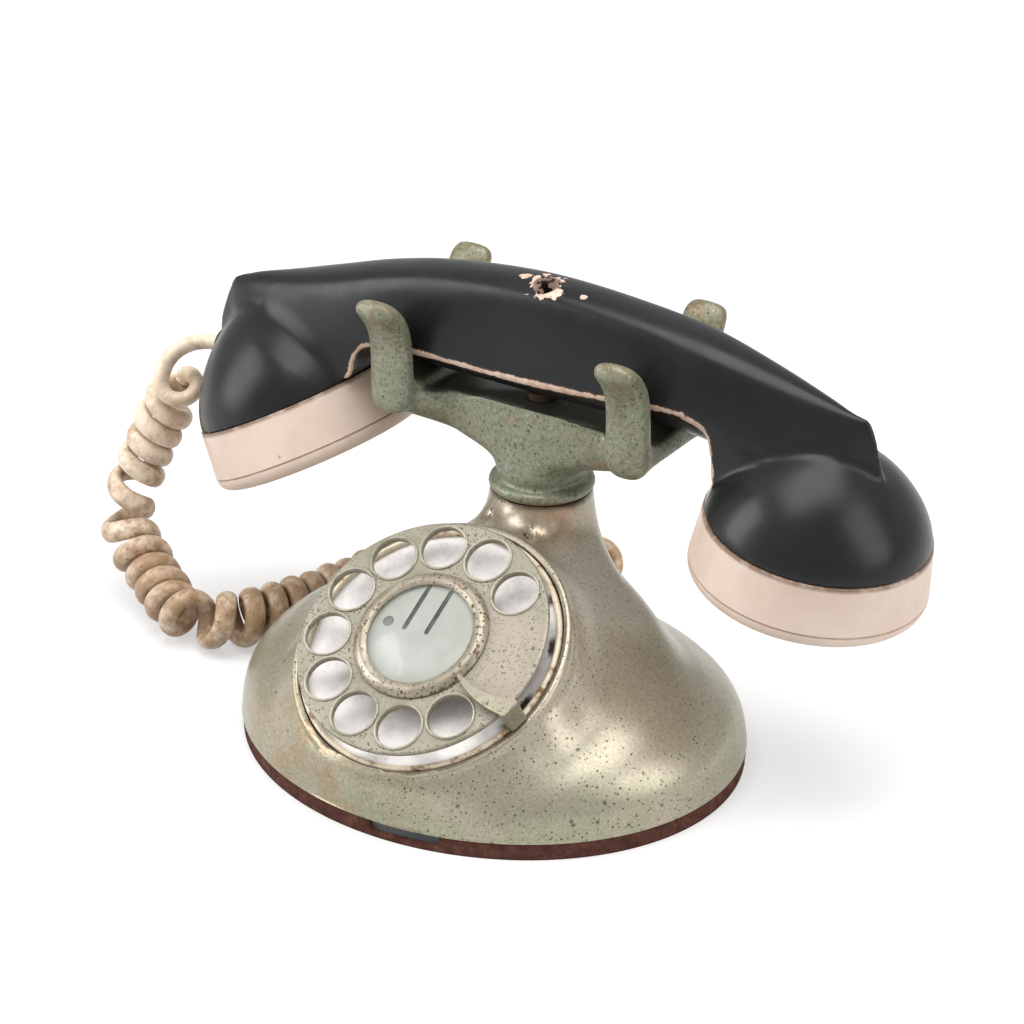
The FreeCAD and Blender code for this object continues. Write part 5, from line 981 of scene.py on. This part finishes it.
def evened_neck(material):
    """The bell's own mesh, cut finer and evened out where the neck runs down to the dial's seat."""
    form = bmesh.new()
    form.from_mesh(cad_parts["base_shell"].data)
    bmesh.ops.remove_doubles(form, verts=form.verts, dist=1e-6)
    longest, shortest = 0.0012, 0.0011
    for _ in range(4):
        near = [e for e in form.edges if e.calc_length() > longest
                and ((e.verts[0].co + e.verts[1].co) * 500.0 - Vector(NECK_FRONT)).length < NECK_REACH + 4.0]
        bmesh.ops.subdivide_edges(form, edges=near, cuts=1)
        bmesh.ops.triangulate(form, faces=[f for f in form.faces if len(f.verts) > 3])
    mesh = bpy.data.meshes.new("neck_evened_bell")
    spots = np.array([v.co for v in form.verts]) * 1000.0
    form.verts.ensure_lookup_table()
    loose = [form.verts[k] for k in np.flatnonzero(neck_share(spots) > 0.3)]
    bmesh.ops.remove_doubles(form, verts=loose, dist=shortest)
    form.to_mesh(mesh)
    form.free()
    relaxed(mesh, neck_share(points_of(mesh)) * 0.5, NECK_ROUNDS)
    mesh.materials.clear()
    mesh.materials.append(material)
    mesh.shade_smooth()
    mesh.set_sharp_from_angle(angle=math.radians(35))
    piece = bpy.data.objects.new("painted_bell", mesh)
    scene.collection.objects.link(piece)
    return piece


painted_bell = evened_neck(shell_paint())
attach(painted_bell, "base")
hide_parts("base_shell")


# Foot: a band of dark red-brown wool felt glued round the edge of a painted steel plate.
# The felt is ragged, and torn down at the front, where the plate's edge shows.
FELT_HALF = (78.5, 67.2)
FELT_TOP = 5.35
TEAR = (272.1, 288.2)


def felt_band():
    """Closed oval band whose outer face is roughened by hand-cut and worn fibres."""
    around = 1440
    rings = []
    section = [(0.0, 0.0), (0.15, 0.5), (0.0, 1.4), (0.0, 2.4), (0.05, 3.4), (0.0, 4.5), (0.35, FELT_TOP),
               (9.0, FELT_TOP), (9.0, 2.0), (9.0, 0.0)]
    for j in range(around):
        degrees = 360.0 * j / around
        a = math.radians(degrees)
        torn = max(0.0, min(1.0, (degrees - TEAR[0]) / 1.6, (TEAR[1] - degrees) / 1.6))
        ring = []
        for k, (inset, z) in enumerate(section):
            spot = Vector((math.cos(a) * 60.0, math.sin(a) * 60.0, z))
            fray = noise.noise(spot * 0.55) * 0.28 + noise.noise(spot * 1.9) * 0.22
            if k in (0, 7, 8, 9):
                fray = 0.0
            ragged = 1.0 + 0.35 * noise.noise(spot * 0.8)
            if torn and z > 2.0 and k < 7:
                inset += 2.6 * torn * ragged
                z = 2.2 + 0.35 * noise.noise(spot * 0.6) + (z - 2.0) * 0.02
            out = min(0.30, fray) - inset - 0.12
            ring.append(((FELT_HALF[0] + out) * math.cos(a), (FELT_HALF[1] + out) * math.sin(a), z))
        rings.append(ring)
    points = [p for ring in rings for p in ring]
    count = len(section)
    faces = []
    for j in range(around):
        n = (j + 1) % around
        for k in range(count):
            m = (k + 1) % count
            faces.append((j * count + k, n * count + k, n * count + m, j * count + m))
    return points, faces


def wool_felt():
    material, shader, place = surface("red_brown_wool_felt")
    tree = material.node_tree
    fibres = node(tree, "ShaderNodeMapping", None, Vector=place, Rotation=(0.2, 0.1, 0.7),
                  Scale=(0.35, 0.35, 1.0)).outputs[0]
    fuzz = noise_at(fibres, 2200.0, 4.0, 0.75)
    matted = noise_at(place, 210.0, 5.0, 0.7)
    tone = ramp(matted, [(0.30, (0.066, 0.026, 0.019)), (0.52, (0.115, 0.046, 0.034)),
                         (0.75, (0.18, 0.084, 0.060))])
    colour = tinted(tone, between(fuzz, 0.56, 0.72, 0.0, 0.5), (0.26, 0.15, 0.115))
    colour = tinted(colour, between(fuzz, 0.45, 0.32, 0.0, 0.6), (0.028, 0.014, 0.012))
    plug(shader, "Base Color", colour)
    shader.inputs["Roughness"].default_value = 0.95
    shader.inputs["Specular IOR Level"].default_value = 0.15
    bumps(shader, plus(fuzz, matted), 0.8, 0.0004)
    return material


felt_points, felt_faces = felt_band()
foot_felt = new_piece("foot_felt", felt_points, felt_faces, wool_felt())
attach(foot_felt, "base")
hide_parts("felt_pad")


def steel(name, dark, light, scale, metallic, rough):
    """Plated or painted metal with a cloudy tarnish; rough is its lowest and highest roughness."""
    material, shader, place = surface(name)
    cloud = noise_at(place, scale, 5.0, 0.65)
    fine = noise_at(place, scale * 9.0, 3.0, 0.6)
    tone = ramp(cloud, [(0.32, dark), (0.68, light)])
    shade = tuple(c * 0.45 for c in dark)
    colour = blend_colour(between(fine, 0.58, 0.74, 0.0, 0.6), tone, (*shade, 1.0))
    plug(shader, "Base Color", colour)
    shader.inputs["Metallic"].default_value = metallic
    plug(shader, "Roughness", between(cloud, 0.3, 0.7, *rough))
    bumps(shader, fine, 0.15, 0.00008)
    return material


dress(steel("dark_painted_plate", (0.045, 0.047, 0.050), (0.095, 0.097, 0.100), 60.0, 0.3, (0.45, 0.62)),
      "base_plate")


# Dial: an enamelled number plate, left blank here, lies in a black cup under a thin painted trim ring.
# The plate has greyed, is mottled with lilac, and is worn to dark metal in patches near its edge.

# How worn the plate's edge is, by the share of a turn
WORN_PATCHES = [(0.0, 0), (0.424, 0), (0.436, 1), (0.478, 1), (0.490, 0), (0.536, 0), (0.545, 1), (0.561, 1),
                (0.570, 0), (0.610, 0), (0.617, 1), (0.626, 1), (0.634, 0)]


def dial_place(tree):
    """The place, and the same in the dial's frame in millimetres: across, up the face, and out of it."""
    place = tree.nodes.new("ShaderNodeTexCoord").outputs["Object"]
    own = node(tree, "ShaderNodeMapping", {"vector_type": "TEXTURE"}, Vector=place, Location=DIAL_CENTRE,
               Rotation=(DIAL_TILT, 0.0, 0.0)).outputs[0]
    large = node(tree, "ShaderNodeVectorMath", {"operation": "SCALE"}, _0=own, Scale=1000.0).outputs[0]
    return place, *split(large)


def from_middle(u, v):
    """Distance from the dial's middle."""
    return math_node("SQRT", plus(times(u, u), times(v, v)))


def plate_enamel():
    material, tree, shader = fresh_material("greyed_white_enamel")
    place, u, v, _ = dial_place(tree)
    out = from_middle(u, v)
    turn = plus(math_node("DIVIDE", math_node("ARCTAN2", v, u), 2 * math.pi), 0.5)
    mottle = noise_at(place, 130.0, 6.0, 0.72)
    tone = ramp(mottle, [(0.30, (0.62, 0.575, 0.570)), (0.46, (0.80, 0.765, 0.745)),
                         (0.62, (0.90, 0.88, 0.85))])
    dust = specks(place, 900.0, 0.13, 0.30)
    colour = marked(tone, dust, 0.6, (0.25, 0.215, 0.20))
    patches = ramp(turn, [(place_on, (share, share, share)) for place_on, share in WORN_PATCHES])
    reach = plus(out, between(mottle, 0.3, 0.7, -1.2, 1.2))
    worn = times(patches, between(reach, 35.6, 36.3))
    colour = tinted(colour, worn, (0.045, 0.030, 0.020))
    shadowed = between(out, 36.6, 38.1, 0.0, 0.5)
    colour = tinted(colour, times(shadowed, between(mottle, 0.4, 0.6)), (0.16, 0.10, 0.06))
    plug(shader, "Base Color", colour)
    plug(shader, "Roughness", between(mottle, 0.3, 0.7, 0.30, 0.55))
    bumps(shader, mottle, 0.2, 0.0001)
    return material


def rusty_trim():
    material, shader, place = surface("cream_trim_with_rust")
    blotch = noise_at(place, 190.0, 6.0, 0.72)
    tone = ramp(blotch, [(0.36, (0.78, 0.69, 0.54)), (0.54, (0.66, 0.56, 0.41)),
                         (0.62, (0.28, 0.155, 0.075)), (0.74, (0.10, 0.05, 0.03))])
    plug(shader, "Base Color", tone)
    shader.inputs["Metallic"].default_value = 0.1
    plug(shader, "Roughness", between(blotch, 0.4, 0.7, 0.35, 0.75))
    bumps(shader, blotch, 0.4, 0.0002)
    return material


dress(plate_enamel(), "number_plate")
dress(rusty_trim(), "trim_ring")
dress(steel("black_dial_cup", (0.012, 0.012, 0.012), (0.045, 0.040, 0.034), 120.0, 0.2, (0.45, 0.7)),
      "dial_cup")


# Finger wheel and stop: a stamped disc with ten rolled finger holes, and a bent stop screwed beside it.
# Both carry cream-green paint with dark green specks; the rolled lips are rubbed bright.
def wheel_paint(name, tones, lip_height):
    material, tree, shader = fresh_material(name)
    place, u, v, w = dial_place(tree)
    cloud = noise_at(place, 75.0, 5.0, 0.65)
    tone = ramp(cloud, [(0.34, tones[0]), (0.52, tones[1]), (0.68, tones[2])])
    fine = noise_at(place, 1500.0, 2.0, 0.7)
    colour = tinted(tone, between(fine, 0.54, 0.68, 0.0, 0.45), (0.27, 0.235, 0.155))
    level = between(math_node("ABSOLUTE", plus(v, -1.0)), 17.0, 13.0)
    open_side = times(between(u, 19.0, 23.0), level)
    colour = marked(colour, open_side, 0.55, (0.40, 0.335, 0.28))
    small = most(specks(place, 620.0, 0.20, 0.6),
                 specks(place, 1200.0, 0.28, 0.7))
    crowd = between(noise_at(place, 70.0, 3.0), 0.42, 0.58, 0.35, 1.0)
    colour = blend_colour(times(small, crowd), colour, (0.095, 0.085, 0.045, 1.0))
    large = specks(place, 300.0, 0.13, 0.45)
    large = times(large, between(noise_at(place, 60.0, 2.0), 0.45, 0.55))
    colour = marked(colour, large, 0.9, (0.085, 0.115, 0.050))
    # Painted shade: the paint is darkened below the lip height, down the walls of the finger holes and low
    # on the stop.
    side = between(w, lip_height - 0.15, lip_height - 0.6)
    colour = marked(colour, side, 0.6, (0.155, 0.125, 0.070))
    crest = between(w, lip_height + 0.22, lip_height + 0.45)
    rubbed = times(crest, between(cloud, 0.38, 0.55))
    colour = marked(colour, rubbed, 0.35, (0.66, 0.62, 0.50))
    plug(shader, "Base Color", colour)
    shader.inputs["Metallic"].default_value = 0.25
    plug(shader, "Roughness", between(cloud, 0.3, 0.7, 0.32, 0.48))
    bumps(shader, minus(times(fine, 0.3), small), 0.35, 0.0001)
    return material


WHEEL_TONES = [(0.255, 0.245, 0.175), (0.315, 0.285, 0.225), (0.36, 0.325, 0.262)]
STOP_TONES = [(0.25, 0.245, 0.155), (0.36, 0.345, 0.240), (0.46, 0.42, 0.31)]
dress(wheel_paint("speckled_wheel_paint", WHEEL_TONES, 7.3), "finger_wheel")
dress(wheel_paint("worn_stop_paint", STOP_TONES, 10.2), "finger_stop")


# Number card and its holder: a rolled steel ring holds a printed card, blank but for a dot and two bars,
# under a domed clear window. The ring is spotted with rust, the card is grey-green, the window is hazy.
def ring_paint():
    material, tree, shader = fresh_material("rust_spotted_ring")
    place, _, _, w = dial_place(tree)
    cloud = noise_at(place, 85.0, 5.0, 0.65)
    tone = ramp(cloud, [(0.34, (0.26, 0.232, 0.17)), (0.52, (0.35, 0.31, 0.24)),
                        (0.68, (0.43, 0.39, 0.315))])
    rust = most(specks(place, 470.0, 0.22, 0.55), specks(place, 900.0, 0.28, 0.6))
    blots = between(noise_at(place, 420.0, 4.0, 0.7), 0.56, 0.64)
    crowd = between(noise_at(place, 48.0, 3.0), 0.38, 0.55, 0.55, 1.0)
    marks = times(most(rust, blots), crowd)
    colour = marked(tone, marks, 0.92, (0.13, 0.062, 0.030))
    # Painted shade: the foot of the ring, where it runs down to the wheel, is darkened.
    shaded_foot = between(w, 8.1, 7.35)
    colour = marked(colour, shaded_foot, 0.7, (0.10, 0.075, 0.04))
    plug(shader, "Base Color", colour)
    shader.inputs["Metallic"].default_value = 0.45
    plug(shader, "Roughness", between(marks, 0.0, 1.0, 0.30, 0.75))
    bumps(shader, marks, 0.5, 0.00015)
    return material


def card_print():
    """Grey-green card; the dot and the bars are sunk in the solid, and are printed dark."""
    material, tree, shader = fresh_material("aged_number_card")
    place, _, _, w = dial_place(tree)
    cloud = noise_at(place, 60.0, 5.0, 0.6)
    tone = ramp(cloud, [(0.35, (0.31, 0.32, 0.285)), (0.65, (0.39, 0.40, 0.365))])
    flecks = specks(place, 500.0, 0.07, 0.15)
    colour = marked(tone, flecks, 0.5, (0.30, 0.27, 0.20))
    ink = ramp(noise_at(place, 500.0, 4.0, 0.7),
               [(0.35, (0.012, 0.014, 0.016)), (0.7, (0.07, 0.075, 0.075))])
    sunk = below(w, 7.7)
    colour = blend_colour(sunk, colour, ink)
    plug(shader, "Base Color", colour)
    shader.inputs["Roughness"].default_value = 0.6
    bumps(shader, cloud, 0.1, 0.0001)
    return material


def hazy_window():
    material, tree, shader = fresh_material("hazy_clear_window")
    place, u, v, _ = dial_place(tree)
    haze = noise_at(place, 70.0, 6.0, 0.7)
    out = from_middle(u, v)
    edge = between(out, 12.5, 16.0)
    yellowed = times(edge, between(haze, 0.4, 0.6))
    tone = tinted((0.76, 0.79, 0.75, 1.0), yellowed, (0.55, 0.50, 0.33))
    plug(shader, "Base Color", tone)
    across = minus(times(u, -0.5), times(v, 0.85))
    glare = times(between(across, 1.0, 8.0), between(out, 15.0, 11.0))
    veil = plus(between(haze, 0.35, 0.70, 0.0, 0.035), times(edge, 0.08))
    veil = plus(veil, times(glare, 0.17))
    plug(shader, "Alpha", veil)
    plug(shader, "Roughness", between(haze, 0.3, 0.7, 0.08, 0.22))
    shader.inputs["Specular IOR Level"].default_value = 0.9
    shader.inputs["Coat Weight"].default_value = 0.6
    bumps(shader, haze, 0.05, 0.0001)
    return material


dress(ring_paint(), "card_ring")
dress(card_print(), "dial_card")
dress(hazy_window(), "card_window")


# Works inside: the dial's frame, shaft, spring and gear train, the hook switch, the terminal strip,
# the screws and the two capsules. Plated steel, brass, spring steel and brown phenolic, hidden when whole.
zinc = steel("zinc_plated_steel", (0.42, 0.42, 0.41), (0.60, 0.60, 0.58), 150.0, 0.85, (0.30, 0.50))
dress(zinc, "base_screws", "terminal_screws", "cradle_nut", "frame_screws", "dial_screws", "bridge_screws",
      "dial_frame", "dial_bridge", "dial_shaft", "wheel_screw", "hook_lever", "lever_pin", "switch_bracket",
      "pulse_arbor", "governor_arbor")
dress(steel("dull_brass", (0.46, 0.32, 0.12), (0.66, 0.50, 0.24), 140.0, 0.9, (0.25, 0.45)),
      "main_gear", "fast_gear", "pulse_cam", "shaft_bush", "governor_weights", "governor_cup",
      "hook_contacts", "pulse_contacts", "transmitter_contacts", "receiver_contacts")
dress(steel("oiled_spring_steel", (0.20, 0.20, 0.21), (0.36, 0.36, 0.37), 160.0, 0.9, (0.22, 0.38)),
      "mainspring", "plunger_spring")
dress(steel("brown_phenolic", (0.055, 0.028, 0.014), (0.11, 0.060, 0.030), 180.0, 0.0, (0.35, 0.5)),
      "terminal_strip", "hook_plunger")
dress(steel("capsule_alloy", (0.46, 0.46, 0.46), (0.62, 0.62, 0.61), 170.0, 0.8, (0.30, 0.45)),
      "transmitter_capsule", "receiver_capsule")
